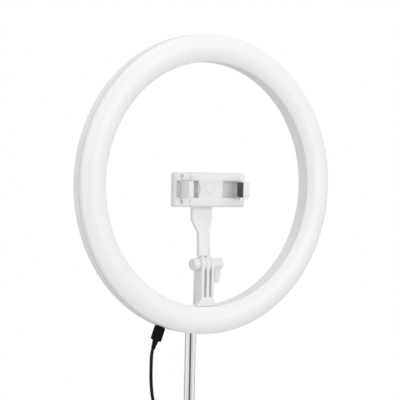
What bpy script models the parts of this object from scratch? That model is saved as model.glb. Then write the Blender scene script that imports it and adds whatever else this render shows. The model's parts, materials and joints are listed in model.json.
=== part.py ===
"""Ring light with a folding phone clamp on a compact telescoping stand.

Metres, +Z up. The lamp faces -Y and the object stands on Z = 0 with the middle of its
footprint at the origin. The lamp head is modelled in ring coordinates (origin at the ring's
centre, on the seam between diffuser and housing) and the stand in column coordinates
(origin on the floor, on the column's axis).
"""
import math

import bmesh
import bpy
from mathutils import Matrix, Vector

MM = 0.001

# ---------------------------------------------------------------- driving dimensions (mm)
RING_R = 150.0            # outer radius of the lamp
RING_R_IN = 122.3         # inner radius of the lamp
RING_DEPTH = 16.0         # housing depth behind the seam
DOME_ARC = ((136.44, -10.35), 17.85)   # centre and radius of the dome's section
OUTER_LIP = 4.5           # how far the diffuser's outer wall reaches back over the housing
SEAM = 0.15               # half of the gap between diffuser and housing
RING_Z = 640.0            # height of the ring's centre above the floor
COLUMN_BACK = 31.0        # column axis behind the seam plane
TILT_Z = -134.0           # tilt axis below the ring's centre
GAP = 0.3                 # clearance between neighbouring pieces

SOCKET_ANGLE = 20.2       # socket, from the bottom towards -X (degrees)
SOCKET_Y = 8.0            # socket, behind the seam

HOLDER_SHIFT = -1.7       # holder coordinates are ring coordinates moved this far in Y
HINGE_Y = 10.4            # holder hinge axis, in holder coordinates
HINGE_Z = -80.3           # holder hinge axis, below the ring's centre
KNUCKLE_R = 7.5
ARM_T = 4.7

CLAMP_X = (-39.5, 46.8)
CLAMP_Z = (-22.9, 11.9)
CLAMP_Y = (7.0, 15.0)
CLAMP_SEAM_X = -21.2      # between the fixed body and the sliding end
CLAMP_SPLIT_Y = 11.45     # between the front and back shells
POCKET_Z = (-13.6, 3.6)
LEFT_POCKET_X = (-36.8, -10.8)
RIGHT_POCKET_X = (18.4, 41.8)
JAW_Z = (-13.0, 3.0)
JAW_TIP_Y = -8.9
JAW_AXIS_Y = 8.0
LEFT_JAW_X = -31.6
RIGHT_JAW_X = 39.1
SWIVEL_Z = -5.0
SWIVEL_TIP_Y = 12.2       # front end of the swivel screw
ROD_Z = (7.8, -17.8)

TUBE_R = 5.85             # sliding tube
TUBE_WALL = 1.0
COLUMN_R = 8.0            # outer column tube
COLUMN_WALL = 1.2
HUB_R = 33.0
HUB_Z = (80.0, 125.0)
LEG_HINGE_R = 26.0        # leg hinge from the column axis
LEG_HINGE_Z = 100.0
FOOT_R = 265.0            # foot centre from the column axis
LEG_ANGLES = (-90.0, 30.0, 150.0)
COLUMN_Y = FOOT_R / 4.0   # puts the footprint's middle at the origin
COLLAR_Z = (324.0, 366.0)
KNOB_Z = 353.0            # lock knob's axis
CLIP_Z = (372.0, 384.0)   # cable clip on the sliding tube
HOOK_Z = (326.0, 336.0)   # cable hook on the collar

CORD_R = 1.65
CORD_X = -15.0            # cable run beside the column
COIL_AT = (-112.0, -62.0)
COIL_R = (14.6, 25.4)
COIL_H = 13.7
COIL_LIFT = 1.2

# cable route points, column coordinates, chosen by hand
UPPER_ROUTE = [
    (-59.73, -23.0, 477.67), (-60.7, -23.0, 474.6), (-61.3, -23.0, 469.5), (-61.45, -22.9, 461.0),
    (-61.0, -22.4, 448.0), (-59.0, -21.2, 434.5), (-55.0, -18.4, 424.0), (-48.5, -14.2, 415.0),
    (-39.8, -9.2, 408.3), (-30.4, -4.9, 403.4), (-22.3, -1.9, 399.0), (-17.0, -0.4, 393.8),
    (-15.1, 0.0, 389.2), (-15.0, 0.0, 384.5),
]
LOWER_ROUTE = [
    (-15.0, 0.0, 325.7), (-15.0, 0.0, 312.0), (-16.2, -0.8, 290.0), (-20.6, -3.0, 260.0),
    (-27.6, -6.4, 222.0), (-35.0, -10.0, 182.0), (-41.4, -13.2, 142.0), (-46.2, -15.6, 102.0),
    (-49.4, -17.4, 64.0), (-51.8, -18.6, 36.0), (-56.0, -20.6, 15.5), (-63.6, -24.0, 4.6),
    (-73.5, -28.4, 1.75), (-83.0, -32.6, 1.7), (-91.0, -35.8, 1.7), (-98.4, -37.8, 1.7),
]
TAIL_ROUTE = [
    (-98.0, -86.2, 11.7), (-92.0, -87.2, 10.6), (-84.0, -88.8, 7.9), (-76.0, -90.2, 5.3),
    (-68.0, -91.0, 4.1), (-60.0, -91.2, 4.0),
]

COLOURS = {
    "diffuser": ((0.90, 0.90, 0.89), 0.45, 0.0),
    "white_plastic": ((0.83, 0.83, 0.82), 0.38, 0.0),
    "circuit": ((0.80, 0.81, 0.78), 0.50, 0.0),
    "steel": ((0.62, 0.62, 0.62), 0.28, 1.0),
    "chrome": ((0.80, 0.80, 0.81), 0.10, 1.0),
    "black_plastic": ((0.020, 0.020, 0.022), 0.45, 0.0),
    "grey_rubber": ((0.10, 0.10, 0.075), 0.75, 0.0),
    "black_rubber": ((0.018, 0.018, 0.018), 0.80, 0.0),
    "cable": ((0.015, 0.015, 0.016), 0.50, 0.0),
}


# ---------------------------------------------------------------- scene helpers
def clear_scene():
    for obj in list(bpy.data.objects):
        bpy.data.objects.remove(obj, do_unlink=True)


def make_collection(name):
    col = bpy.data.collections.new(name)
    bpy.context.scene.collection.children.link(col)
    return col


def make_materials():
    made = {}
    for name, (colour, rough, metal) in COLOURS.items():
        mat = bpy.data.materials.new(name)
        mat.use_nodes = True
        bsdf = mat.node_tree.nodes["Principled BSDF"]
        bsdf.inputs["Base Color"].default_value = (*colour, 1.0)
        bsdf.inputs["Roughness"].default_value = rough
        bsdf.inputs["Metallic"].default_value = metal
        made[name] = mat
    return made


clear_scene()
PARTS = make_collection("ring_light")
CUTTERS = make_collection("cutters")
MATERIALS = make_materials()


def vec(point):
    return Vector(point) * MM


def pivot(name, parent, at, turn=0.0):
    """An empty on a joint's axis: at is in the parent's frame, turn about Z in degrees."""
    empty = bpy.data.objects.new(name, None)
    empty.empty_display_size = 0.01
    PARTS.objects.link(empty)
    empty.parent = parent
    empty.location = vec(at)
    empty.rotation_euler = (0.0, 0.0, math.radians(turn))
    return empty


def add(name, data, material, parent, at=(0, 0, 0), rot=(0, 0, 0)):
    obj = bpy.data.objects.new(name, data)
    PARTS.objects.link(obj)
    obj.parent = parent
    obj.location = vec(at)
    obj.rotation_euler = [math.radians(a) for a in rot]
    obj.data.materials.append(MATERIALS[material])
    return obj


def as_cutter(obj):
    """Move an object to the cutters' collection and hide it from renders."""
    PARTS.objects.unlink(obj)
    CUTTERS.objects.link(obj)
    obj.hide_render = True
    obj.display_type = "WIRE"
    return obj


def combine(obj, other, operation="DIFFERENCE"):
    mod = obj.modifiers.new(operation.lower(), "BOOLEAN")
    mod.operation = operation
    mod.solver = "EXACT"
    mod.object = as_cutter(other)


# ---------------------------------------------------------------- shape helpers
def box_data(low, high):
    bm = bmesh.new()
    bmesh.ops.create_cube(bm, size=1.0)
    low, high = Vector(low) * MM, Vector(high) * MM
    for v in bm.verts:
        v.co = Vector([low[i] + (v.co[i] + 0.5) * (high[i] - low[i]) for i in range(3)])
    mesh = bpy.data.meshes.new("box")
    bm.to_mesh(mesh)
    bm.free()
    return mesh


def rod_data(radius, start, end, sides=24, radius_end=None):
    """A cylinder or cone along Z from start to end, with capped ends."""
    bm = bmesh.new()
    top = radius if radius_end is None else radius_end
    bmesh.ops.create_cone(bm, cap_ends=True, segments=sides, radius1=radius * MM,
                          radius2=top * MM, depth=(end - start) * MM)
    for v in bm.verts:
        v.co.z += 0.5 * (start + end) * MM
    mesh = bpy.data.meshes.new("rod")
    bm.to_mesh(mesh)
    bm.free()
    return mesh


def turned(name, profile, material, parent, at=(0, 0, 0), rot=(0, 0, 0), steps=32, closed=False):
    """Turn an (r, z) profile about local Z. Its outer side runs from top to bottom."""
    bm = bmesh.new()
    verts = [bm.verts.new((r * MM, 0.0, z * MM)) for r, z in profile]
    for a, b in zip(verts, verts[1:]):
        bm.edges.new((a, b))
    if closed:
        bm.edges.new((verts[-1], verts[0]))
    mesh = bpy.data.meshes.new(name)
    bm.to_mesh(mesh)
    bm.free()
    obj = add(name, mesh, material, parent, at, rot)
    mod = obj.modifiers.new("turn", "SCREW")
    mod.axis = "Z"
    mod.angle = math.tau
    mod.steps = steps
    mod.render_steps = steps
    mod.use_merge_vertices = True
    mod.merge_threshold = 0.00001
    mod.use_normal_calculate = False
    mod.use_smooth_shade = False
    return obj


def outline(name, points, low, high, material, parent, at=(0, 0, 0), rot=(0, 0, 0)):
    """A flat outline in local XY, filled and extruded from low to high along local Z."""
    curve = bpy.data.curves.new(name, "CURVE")
    curve.dimensions = "2D"
    curve.fill_mode = "BOTH"
    curve.extrude = 0.5 * (high - low) * MM
    curve.resolution_u = 1
    curve.render_resolution_u = 0
    spline = curve.splines.new("POLY")
    spline.points.add(len(points) - 1)
    for slot, (x, y) in zip(spline.points, points):
        slot.co = (x * MM, y * MM, 0.0, 1.0)
    spline.use_cyclic_u = True
    carrier = bpy.data.objects.new(name + "_outline", curve)
    PARTS.objects.link(carrier)
    mesh = solid_from(carrier, 0.5 * (low + high))
    return add(name, mesh, material, parent, at, rot)


def solid_from(carrier, shift_z=0.0):
    """Turn a curve object into a closed mesh and remove the curve object."""
    graph = bpy.context.evaluated_depsgraph_get()
    mesh = bpy.data.meshes.new_from_object(carrier.evaluated_get(graph))
    bm = bmesh.new()
    bm.from_mesh(mesh)
    bmesh.ops.remove_doubles(bm, verts=bm.verts, dist=0.000002)
    for v in bm.verts:
        v.co.z += shift_z * MM
    bmesh.ops.recalc_face_normals(bm, faces=bm.faces)
    bm.to_mesh(mesh)
    bm.free()
    mesh.materials.clear()
    bpy.data.objects.remove(carrier, do_unlink=True)
    return mesh


def arc(centre, radius, start, end, count):
    """Points on an arc, angles in degrees."""
    step = (end - start) / (count - 1)
    return [(centre[0] + radius * math.cos(math.radians(start + i * step)),
             centre[1] + radius * math.sin(math.radians(start + i * step))) for i in range(count)]


def rounded(half_x, half_y, corner, count=4):
    """A rounded rectangle about the origin."""
    points = []
    for sx, sy, start in ((1, 1, 0), (-1, 1, 90), (-1, -1, 180), (1, -1, 270)):
        centre = (sx * (half_x - corner), sy * (half_y - corner))
        points += arc(centre, corner, start, start + 90, count)
    return points


def loft(name, sections, material, parent, at=(0, 0, 0), rot=(0, 0, 0)):
    """Join rings with equal point counts into one closed solid."""
    bm = bmesh.new()
    rings = [[bm.verts.new(Vector(p) * MM) for p in ring] for ring in sections]
    for ring_a, ring_b in zip(rings, rings[1:]):
        for i, vert in enumerate(ring_a):
            j = (i + 1) % len(ring_a)
            bm.faces.new((vert, ring_a[j], ring_b[j], ring_b[i]))
    bm.faces.new(rings[0])
    bm.faces.new(rings[-1])
    bmesh.ops.recalc_face_normals(bm, faces=bm.faces)
    mesh = bpy.data.meshes.new(name)
    bm.to_mesh(mesh)
    bm.free()
    return add(name, mesh, material, parent, at, rot)


def smooth_route(points, spacing):
    """Points at an even spacing on a smooth curve through the route's points."""
    path = [Vector(p) for p in points]
    ends = [2 * path[0] - path[1]] + path + [2 * path[-1] - path[-2]]
    fine = []
    for p0, p1, p2, p3 in zip(ends, ends[1:], ends[2:], ends[3:]):
        for i in range(12):
            t = i / 12.0
            fine.append(0.5 * (2 * p1 + (p2 - p0) * t + (2 * p0 - 5 * p1 + 4 * p2 - p3) * t * t
                               + (3 * p1 - p0 - 3 * p2 + p3) * t ** 3))
    fine.append(path[-1])
    total = sum((b - a).length for a, b in zip(fine, fine[1:]))
    count = max(3, round(total / spacing))
    picked, travelled, target = [fine[0]], 0.0, total / count
    for a, b in zip(fine, fine[1:]):
        step = (b - a).length
        while travelled + step >= target - 1e-6 and len(picked) < count:
            picked.append(a.lerp(b, (target - travelled) / step))
            target += total / count
        travelled += step
    picked.append(fine[-1])
    return picked


def wire(name, points, radius, material, parent, resolution=2):
    """A round wire along points, with filled ends."""
    curve = bpy.data.curves.new(name, "CURVE")
    curve.dimensions = "3D"
    curve.bevel_depth = radius * MM
    curve.bevel_resolution = resolution
    curve.use_fill_caps = True
    curve.resolution_u = 1
    curve.render_resolution_u = 0
    spline = curve.splines.new("POLY")
    spline.points.add(len(points) - 1)
    for slot, point in zip(spline.points, points):
        slot.co = (*(Vector(point) * MM), 1.0)
    return add(name, curve, material, parent)


FACE_X = (0, 90, 0)       # local Z along +X
FACE_BACK = (-90, 0, 0)   # local Z along +Y
FACE_FRONT = (90, 0, 0)   # local Z along -Y


def side_outline(name, points, low, high, material, parent):
    """An outline given as (y, z) points, extruded along X from low to high."""
    return outline(name, points, low, high, material, parent, rot=(90, 0, 90))


def front_outline(name, points, low, high, material, parent):
    """An outline given as (x, z) points, extruded along Y from low to high."""
    return outline(name, points, -high, -low, material, parent, rot=FACE_FRONT)


def bore_x(obj, parent, y, z, radius, low, high, sides=16):
    combine(obj, add(obj.name + "_bore", rod_data(radius, low, high, sides), "steel", parent,
                     (0, y, z), FACE_X))


def cut_box(obj, parent, low, high, at=(0, 0, 0), rot=(0, 0, 0)):
    combine(obj, add(obj.name + "_cut", box_data(low, high), "steel", parent, at, rot))


def on_ring(radius, angle, y):
    """Ring coordinates of a point at an angle from +X towards +Z."""
    a = math.radians(angle)
    return (radius * math.cos(a), y, radius * math.sin(a))


# ---------------------------------------------------------------- lamp head
RING_MID = 0.5 * (RING_R + RING_R_IN)
BUTTON_ANGLES = (-128.0, -135.0, -142.0)
SCREW_ANGLES = (45.0, 135.0, 205.0, 335.0)
SOCKET_RING_ANGLE = -90.0 - SOCKET_ANGLE


def make_diffuser(ring):
    """A frosted channel that bulges forward, with its walls turned back to the seam."""
    centre, radius = DOME_ARC
    wall, outer_r, inner_r = 1.5, RING_R - 0.3, RING_R_IN + 0.3
    high = math.degrees(math.acos((outer_r - centre[0]) / radius))
    low = math.degrees(math.acos((inner_r - centre[0]) / radius))
    outer = arc(centre, radius, low, high, 9)
    inside_high = math.degrees(math.acos((outer_r - wall - centre[0]) / (radius - wall)))
    inside_low = 180 - math.degrees(math.asin((SEAM - centre[1]) / (radius - wall)))
    inside = arc(centre, radius - wall, inside_high, inside_low, 6)
    profile = [(inner_r, SEAM)] + outer[1:] + [(outer_r, SEAM - OUTER_LIP)]
    profile += [(outer_r - wall, SEAM - OUTER_LIP)] + inside
    turned("diffuser", profile, "diffuser", ring, rot=FACE_FRONT, steps=72, closed=True)


def make_housing(ring):
    """The rear channel, with holes for its screws, buttons and socket."""
    r_out, r_in, back, wall, corner = RING_R, RING_R_IN, -RING_DEPTH, 1.8, 3.0
    top = -SEAM - OUTER_LIP
    profile = [(r_out, top), (r_out, back + corner), (r_out - 0.9, back + 0.9),
               (r_out - corner, back), (r_in + corner, back), (r_in + 0.9, back + 0.9),
               (r_in, back + corner), (r_in, -SEAM), (r_in + wall, -SEAM),
               (r_in + wall, back + 3.6), (r_in + 3.4, back + wall), (r_out - 3.4, back + wall),
               (r_out - wall, back + 3.6), (r_out - wall, top)]
    housing = turned("rear_housing", profile, "white_plastic", ring, rot=FACE_FRONT, steps=72,
                     closed=True)
    for angle in SCREW_ANGLES:
        hole = add("screw_hole", rod_data(1.7, 12.0, 18.0, 12), "steel", ring,
                   on_ring(RING_MID, angle, 0), FACE_BACK)
        combine(housing, hole)
    for angle in BUTTON_ANGLES:
        hole = add("button_hole", rod_data(4.3, 12.0, 18.0, 12), "steel", ring,
                   on_ring(RING_MID, angle, 0), FACE_BACK)
        combine(housing, hole)
    cut_box(housing, ring, (RING_R - 5.0, -2.0, -4.9), (RING_R + 3.0, 2.0, 4.9),
            (0, SOCKET_Y, 0), (0, -SOCKET_RING_ANGLE, 0))


def make_ring_electronics(ring):
    """LED board, driver board with its switches, and the power socket."""
    turned("led_board", [(146.6, -3.2), (146.6, -4.8), (125.1, -4.8), (125.1, -3.2)], "circuit",
           ring, rot=FACE_FRONT, steps=48, closed=True)
    add("driver_board", box_data((-5.0, 7.4, -22.0), (5.0, 9.0, 22.0)), "circuit", ring,
        on_ring(RING_MID, -135.0, 0), (0, 135.0, 0))
    socket = add("usb_socket", box_data((139.0, -1.7, -4.6), (149.8, 1.7, 4.6)), "steel", ring,
                 (0, SOCKET_Y, 0), (0, -SOCKET_RING_ANGLE, 0))
    cut_box(socket, ring, (142.5, -1.1, -4.0), (152.0, 1.1, 4.0), (0, SOCKET_Y, 0),
            (0, -SOCKET_RING_ANGLE, 0))


def make_housing_screws(ring):
    profile = [(0.0, 17.7), (2.0, 17.5), (2.8, 16.9), (2.8, 16.3), (1.4, 16.3), (1.4, 6.5),
               (0.0, 5.6)]
    for number, angle in enumerate(SCREW_ANGLES, 1):
        turned(f"housing_screw_{number}", profile, "steel", ring, on_ring(RING_MID, angle, 0),
               FACE_BACK, steps=12)


def make_buttons(ring):
    """Three push buttons on the back, each on its own slide axis."""
    profile = [(0.0, 17.5), (3.4, 17.2), (4.0, 16.6), (4.0, 13.8), (4.9, 13.8), (4.9, 12.9),
               (1.6, 12.9), (1.6, 10.2), (0.0, 10.2)]
    for name, angle in zip(("mode_button", "brighter_button", "dimmer_button"), BUTTON_ANGLES):
        axis = pivot(name + "_axis", ring, on_ring(RING_MID, angle, 0))
        turned(name, profile, "white_plastic", axis, rot=FACE_BACK, steps=14)


def make_bracket(ring):
    """Mounting plate on the housing's back with the tilt tongue."""
    plate = add("ring_bracket", box_data((-13.0, 16.3, -147.0), (13.0, 19.4, -124.5)),
                "black_plastic", ring)
    tongue = [(18.8, TILT_Z - 5.0)] + arc((COLUMN_BACK, TILT_Z), 6.5, -90, 90, 9)
    tongue += [(18.8, TILT_Z + 5.0)]
    combine(plate, side_outline("tongue", tongue, -3.9, 3.9, "steel", ring), "UNION")
    bore_x(plate, ring, COLUMN_BACK, TILT_Z, 2.7, -6.0, 6.0)


def make_post(ring):
    """Square post with a three-finger hinge top, flared at the front of its foot."""
    half, foot, rest, foot_depth = 7.5, 13.0, RING_R_IN - GAP, 6.5
    low, high = HINGE_Y - KNUCKLE_R, HINGE_Y + KNUCKLE_R
    post = front_outline("holder_post", [
        (half, HINGE_Z + 8.0), (half, -math.sqrt(rest ** 2 - half ** 2)),
        (-half, -math.sqrt(rest ** 2 - half ** 2)), (-half, HINGE_Z + 8.0)],
        low - 1.0, high, "white_plastic", ring)
    flare = arc((half + 10.0, -112.2), 10.0, 180, 230, 5)
    edge = math.degrees(math.asin(foot / rest))
    base = [(half - 2.0, -108.0)] + flare + arc((0, 0), rest, -90 + edge, -90 - edge, 7)
    base += [(-x, z) for x, z in reversed(flare)] + [(2.0 - half, -108.0)]
    combine(post, front_outline("post_foot", base, low - 1.0, low + foot_depth, "steel", ring),
            "UNION")
    side = arc((HINGE_Y, HINGE_Z), KNUCKLE_R, 0, 180, 13) + [(low, -124.0), (high, -124.0)]
    combine(post, side_outline("post_side", side, -16.0, 16.0, "steel", ring), "INTERSECT")
    for x in (-4.5, 1.5):
        cut_box(post, ring, (x, low - 2, HINGE_Z - 8.2), (x + 3.0, high + 2, HINGE_Z + 9))
        cut_box(post, ring, (x, low - 2, -113.0), (x + 3.0, high - 3.5, HINGE_Z))
    bore_x(post, ring, HINGE_Y, HINGE_Z, 2.7, -9.0, 9.0)


def make_plug(ring):
    """Moulded plug with a stepped strain relief, plugged into the socket."""
    turn = (0, -SOCKET_RING_ANGLE, 0)
    at = (0, SOCKET_Y, 0)
    stages = [(150.3, 4.9, 3.0), (151.2, 5.6, 3.5), (163.8, 5.6, 3.5), (164.6, 5.1, 3.2),
              (165.0, 3.0, 2.6), (168.6, 2.7, 2.5), (169.2, 2.1, 2.1), (172.4, 2.0, 2.0)]
    rings = []
    for radius, half_z, half_y in stages:
        corner = min(half_y, half_z) * 0.75
        rings.append([(radius, y, z) for z, y in rounded(half_z, half_y, corner, 3)])
    plug = loft("ring_plug", rings, "black_plastic", ring, at, turn)
    tip = add("plug_tip", box_data((144.0, -0.8, -3.6), (151.0, 0.8, 3.6)), "steel", ring, at, turn)
    combine(plug, tip, "UNION")


def make_head(stand):
    tilt = pivot("tilt_axis", stand, (0, 0, RING_Z + TILT_Z))
    ring = pivot("ring_centre", tilt, (0, -COLUMN_BACK, -TILT_Z))
    make_diffuser(ring)
    make_housing(ring)
    make_ring_electronics(ring)
    make_housing_screws(ring)
    make_buttons(ring)
    make_bracket(ring)
    make_plug(ring)
    return ring


# ---------------------------------------------------------------- phone holder
def make_hinge_hardware(ring):
    """Bolt through the fingers, its round nut cap, and the knob with a hanging lever."""
    at = (0, HINGE_Y, HINGE_Z)
    add("hinge_bolt", rod_data(2.4, -11.8, 9.8, 16), "steel", ring, at, FACE_X)
    cap = [(0.0, -12.2), (2.7, -12.2), (2.7, -7.8), (6.15, -7.8), (6.15, -14.4), (5.6, -15.0),
           (4.9, -15.0), (4.9, -14.2), (0.0, -14.2)]
    turned("hinge_nut_cap", cap, "white_plastic", ring, at, FACE_X, steps=28)
    axis = pivot("hinge_knob_axis", ring, at)
    profile = [(0.0, 20.4), (4.6, 20.4), (5.6, 19.4), (5.6, 7.8), (2.7, 7.8), (2.7, 10.4),
               (0.0, 10.4)]
    knob = turned("hinge_knob", profile, "white_plastic", axis, rot=FACE_X, steps=28)
    lever = [(11.9, -3.5), (19.4, -3.5), (17.8, -17.6), (16.6, -18.8), (12.9, -18.8), (11.9, -17.7)]
    combine(knob, front_outline("lever", lever, -2.2, 2.2, "steel", axis), "UNION")


def make_arm(arm_axis):
    """Two-finger paddle that carries the clamp, in hinge-axis coordinates."""
    def section(z, half, front):
        y = front - HINGE_Y
        c = 0.9
        pts = [(-half + c, y), (half - c, y), (half, y + c), (half, y + ARM_T - c),
               (half - c, y + ARM_T), (-half + c, y + ARM_T), (-half, y + ARM_T - c), (-half, y + c)]
        return [(px, py, z - HINGE_Z) for px, py in pts]

    stations = [(HINGE_Z + 8.1, 7.0, 10.0), (-49.0, 7.0, 10.7), (-46.5, 7.5, 11.9),
                (-38.0, 11.0, 14.7), (-34.0, 12.0, 15.4), (SWIVEL_Z, 12.0, 15.4)]
    stations += [(SWIVEL_Z + 12.0 * math.sin(a), 12.0 * math.cos(a), 15.4)
                 for a in (math.radians(d) for d in (25, 48, 66, 78))]
    arm = loft("phone_arm", [section(*s) for s in stations], "white_plastic", arm_axis)
    top_right = math.degrees(math.acos(4.3 / 7.2))
    tongue = arc((0, 0), 7.2, 110, 360 + top_right, 15) + [(4.3, 9.0), (-2.4, 9.0)]
    for x in (-4.3, 1.7):
        combine(arm, side_outline("arm_tongue", tongue, x, x + 2.6, "steel", arm_axis), "UNION")
    bore_x(arm, arm_axis, 0, 0, 2.7, -7.0, 7.0)
    hole = add("swivel_hole", rod_data(2.3, 1.0, 12.0, 16), "steel", arm_axis,
               (0, 0, SWIVEL_Z - HINGE_Z), FACE_BACK)
    combine(arm, hole)


def make_swivel_screw(arm_axis):
    """Screw that holds the clamp to the paddle, with a round head behind."""
    back = 15.4 + ARM_T - HINGE_Y
    profile = [(0.0, back + 2.6), (3.6, back + 2.4), (4.6, back + 1.6), (4.6, back + GAP),
               (2.0, back + GAP), (2.0, SWIVEL_TIP_Y - HINGE_Y), (0.0, SWIVEL_TIP_Y - HINGE_Y)]
    turned("swivel_screw", profile, "steel", arm_axis, (0, 0, SWIVEL_Z - HINGE_Z), FACE_BACK,
           steps=20)


def clamp_outline(low_x, high_x, round_left, round_right):
    """Outline of a clamp piece, with its outside corners rounded."""
    corner, low_z, high_z = 2.6, CLAMP_Z[0], CLAMP_Z[1]
    points = []
    for x, z, sx, sz, on, start in ((high_x, high_z, -1, -1, round_right, 0),
                                    (low_x, high_z, 1, -1, round_left, 90),
                                    (low_x, low_z, 1, 1, round_left, 180),
                                    (high_x, low_z, -1, 1, round_right, 270)):
        if on:
            points += arc((x + sx * corner, z + sz * corner), corner, start, start + 90, 5)
        else:
            points.append((x, z))
    return points


def make_clamp_body(clamp):
    """Fixed front and back shells, with the folding pocket and the rod channels."""
    low_x = CLAMP_SEAM_X + GAP
    shape = clamp_outline(low_x, CLAMP_X[1], False, True)
    mid = 0.5 * GAP
    front = front_outline("clamp_front", shape, CLAMP_Y[0], CLAMP_SPLIT_Y - mid, "white_plastic",
                          clamp)
    back = front_outline("clamp_back", shape, CLAMP_SPLIT_Y + mid, CLAMP_Y[1], "white_plastic",
                         clamp)
    trim_front_edges(front, clamp, shape)
    for shell in (front, back):
        cut_box(shell, clamp, (CLAMP_SEAM_X - 5, 4, POCKET_Z[0]),
                (LEFT_POCKET_X[1], 14.2, POCKET_Z[1]))
        cut_box(shell, clamp, (RIGHT_POCKET_X[0], 4, POCKET_Z[0]),
                (RIGHT_POCKET_X[1], 14.2, POCKET_Z[1]))
        for z, radius in zip(ROD_Z, (1.9, 3.1)):
            channel = add("rod_channel", rod_data(radius, -18.9, 13.0, 12), "steel", clamp,
                          (0, CLAMP_SPLIT_Y, z), FACE_X)
            combine(shell, channel)
            mouth = add("rod_mouth", rod_data(1.9, -24.0, -18.0, 12), "steel", clamp,
                        (0, CLAMP_SPLIT_Y, z), FACE_X)
            combine(shell, mouth)
    cut_stub_bore(front, clamp, RIGHT_JAW_X)
    hole = add("screw_seat", rod_data(2.3, 10.0, 16.0, 16), "steel", clamp, (0, 0, SWIVEL_Z),
               FACE_BACK)
    combine(back, hole)


def cut_stub_bore(shell, parent, axis_x):
    """Bore above and below a pocket for the stubs that a jaw turns on."""
    bore = add("stub_bore", rod_data(1.2, JAW_Z[0] - 2.2, JAW_Z[1] + 2.2, 12), "steel", parent,
               (axis_x, JAW_AXIS_Y, 0))
    combine(shell, bore)


def trim_front_edges(obj, parent, shape):
    """Chamfer the outside edges of a clamp piece's front face, all but its seam side."""
    cut = 1.6
    xs, zs = [p[0] for p in shape], [p[1] for p in shape]
    sides = ((0, max(zs), 0), (max(xs), 0, 90), (0, min(zs), 180), (min(xs), 0, 270))
    wedge = [(CLAMP_Y[0] - 1.0, 1.0), (CLAMP_Y[0] - 1.0, -cut - 1.0),
             (CLAMP_Y[0] + cut + 1.0, 1.0)]
    lay_along_x = Matrix(((0, 0, 1), (1, 0, 0), (0, 1, 0)))
    for x, z, turn in sides:
        if x in (CLAMP_SEAM_X + GAP, CLAMP_SEAM_X - GAP):
            continue
        tool = outline("edge_wedge", wedge, -60.0, 60.0, "steel", parent, (x, 0, z))
        tool.rotation_euler = (Matrix.Rotation(math.radians(turn), 3, "Y") @ lay_along_x).to_euler()
        combine(obj, tool)


def make_slide_end(slide):
    """Sliding end piece with its pocket, two lightening windows and rod sockets."""
    shape = clamp_outline(CLAMP_X[0], CLAMP_SEAM_X - GAP, True, False)
    end = front_outline("clamp_slide_end", shape, CLAMP_Y[0], CLAMP_Y[1], "white_plastic", slide)
    trim_front_edges(end, slide, shape)
    cut_box(end, slide, (LEFT_POCKET_X[0], 4, POCKET_Z[0]), (LEFT_POCKET_X[1], 14.2, POCKET_Z[1]))
    cut_stub_bore(end, slide, LEFT_JAW_X)
    for z in ROD_Z:
        socket = add("rod_socket", rod_data(1.8, -37.6, -20.0, 12), "steel", slide,
                     (0, CLAMP_SPLIT_Y, z), FACE_X)
        combine(end, socket)
        cut_box(end, slide, (-33.2, 4, z - 1.9), (-29.6, 9.4, z + 1.9))


def make_rods(slide):
    """Guide rods fixed in the sliding end; the lower one carries the spring's collar."""
    add("guide_rod_upper", rod_data(1.5, -37.2, 9.0, 12), "steel", slide,
        (0, CLAMP_SPLIT_Y, ROD_Z[0]), FACE_X)
    profile = [(0.0, 11.0), (2.8, 11.0), (2.8, 9.4), (1.5, 9.4), (1.5, -37.2), (0.0, -37.2)]
    turned("guide_rod_lower", profile, "steel", slide, (0, CLAMP_SPLIT_Y, ROD_Z[1]), FACE_X,
           steps=12)


def make_spring(clamp):
    """Closing spring around the lower rod."""
    turns, per_turn, start, end, radius = 7, 9, -18.2, 8.7, 2.35
    points = []
    for i in range(turns * per_turn + 1):
        a = math.tau * i / per_turn
        x = start + (end - start) * i / (turns * per_turn)
        points.append((x, CLAMP_SPLIT_Y + radius * math.cos(a), ROD_Z[1] + radius * math.sin(a)))
    wire("clamp_spring", points, 0.35, "steel", clamp, 1)


def make_jaw(side, axis_x, lip, parent):
    """Folding jaw, its pad, and its hinge stubs, in coordinates of its own hinge axis."""
    inward = 1.0 if side == "left" else -1.0
    axis = pivot(f"{side}_jaw_axis", parent, (axis_x, JAW_AXIS_Y, 0.5 * (JAW_Z[0] + JAW_Z[1])))
    tip, half = JAW_TIP_Y - JAW_AXIS_Y, 0.5 * (JAW_Z[1] - JAW_Z[0])
    shape = [(-1.6, tip + 0.8), (-0.9, tip), (lip - 0.6, tip), (lip, tip + 0.7),
             (lip - 0.4, tip + 1.6), (2.4, tip + 2.6), (1.2, tip + 4.0), (1.2, 0.0)]
    shape += arc((0, 0), 1.6, 40, 180, 7)
    shape = [(inward * x, y) for x, y in shape]
    jaw = outline(f"{side}_jaw", shape, -half, half, "white_plastic", axis)
    stub = add("jaw_stub", rod_data(0.9, -half - 1.8, half + 1.8, 12), "steel", axis)
    combine(jaw, stub, "UNION")
    thick = 1.4
    near, far = 1.2 + GAP, 1.2 + GAP + thick
    low, high = sorted((inward * near, inward * far))
    pad_low, pad_high = tip + 4.6, -1.2
    pad = rounded(0.5 * (pad_high - pad_low), half - 0.5, 2.2, 4)
    mid = 0.5 * (pad_low + pad_high)
    pad = [(y + mid, z) for y, z in pad]
    side_outline(f"{side}_jaw_pad", pad, low, high, "grey_rubber", axis)


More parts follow.
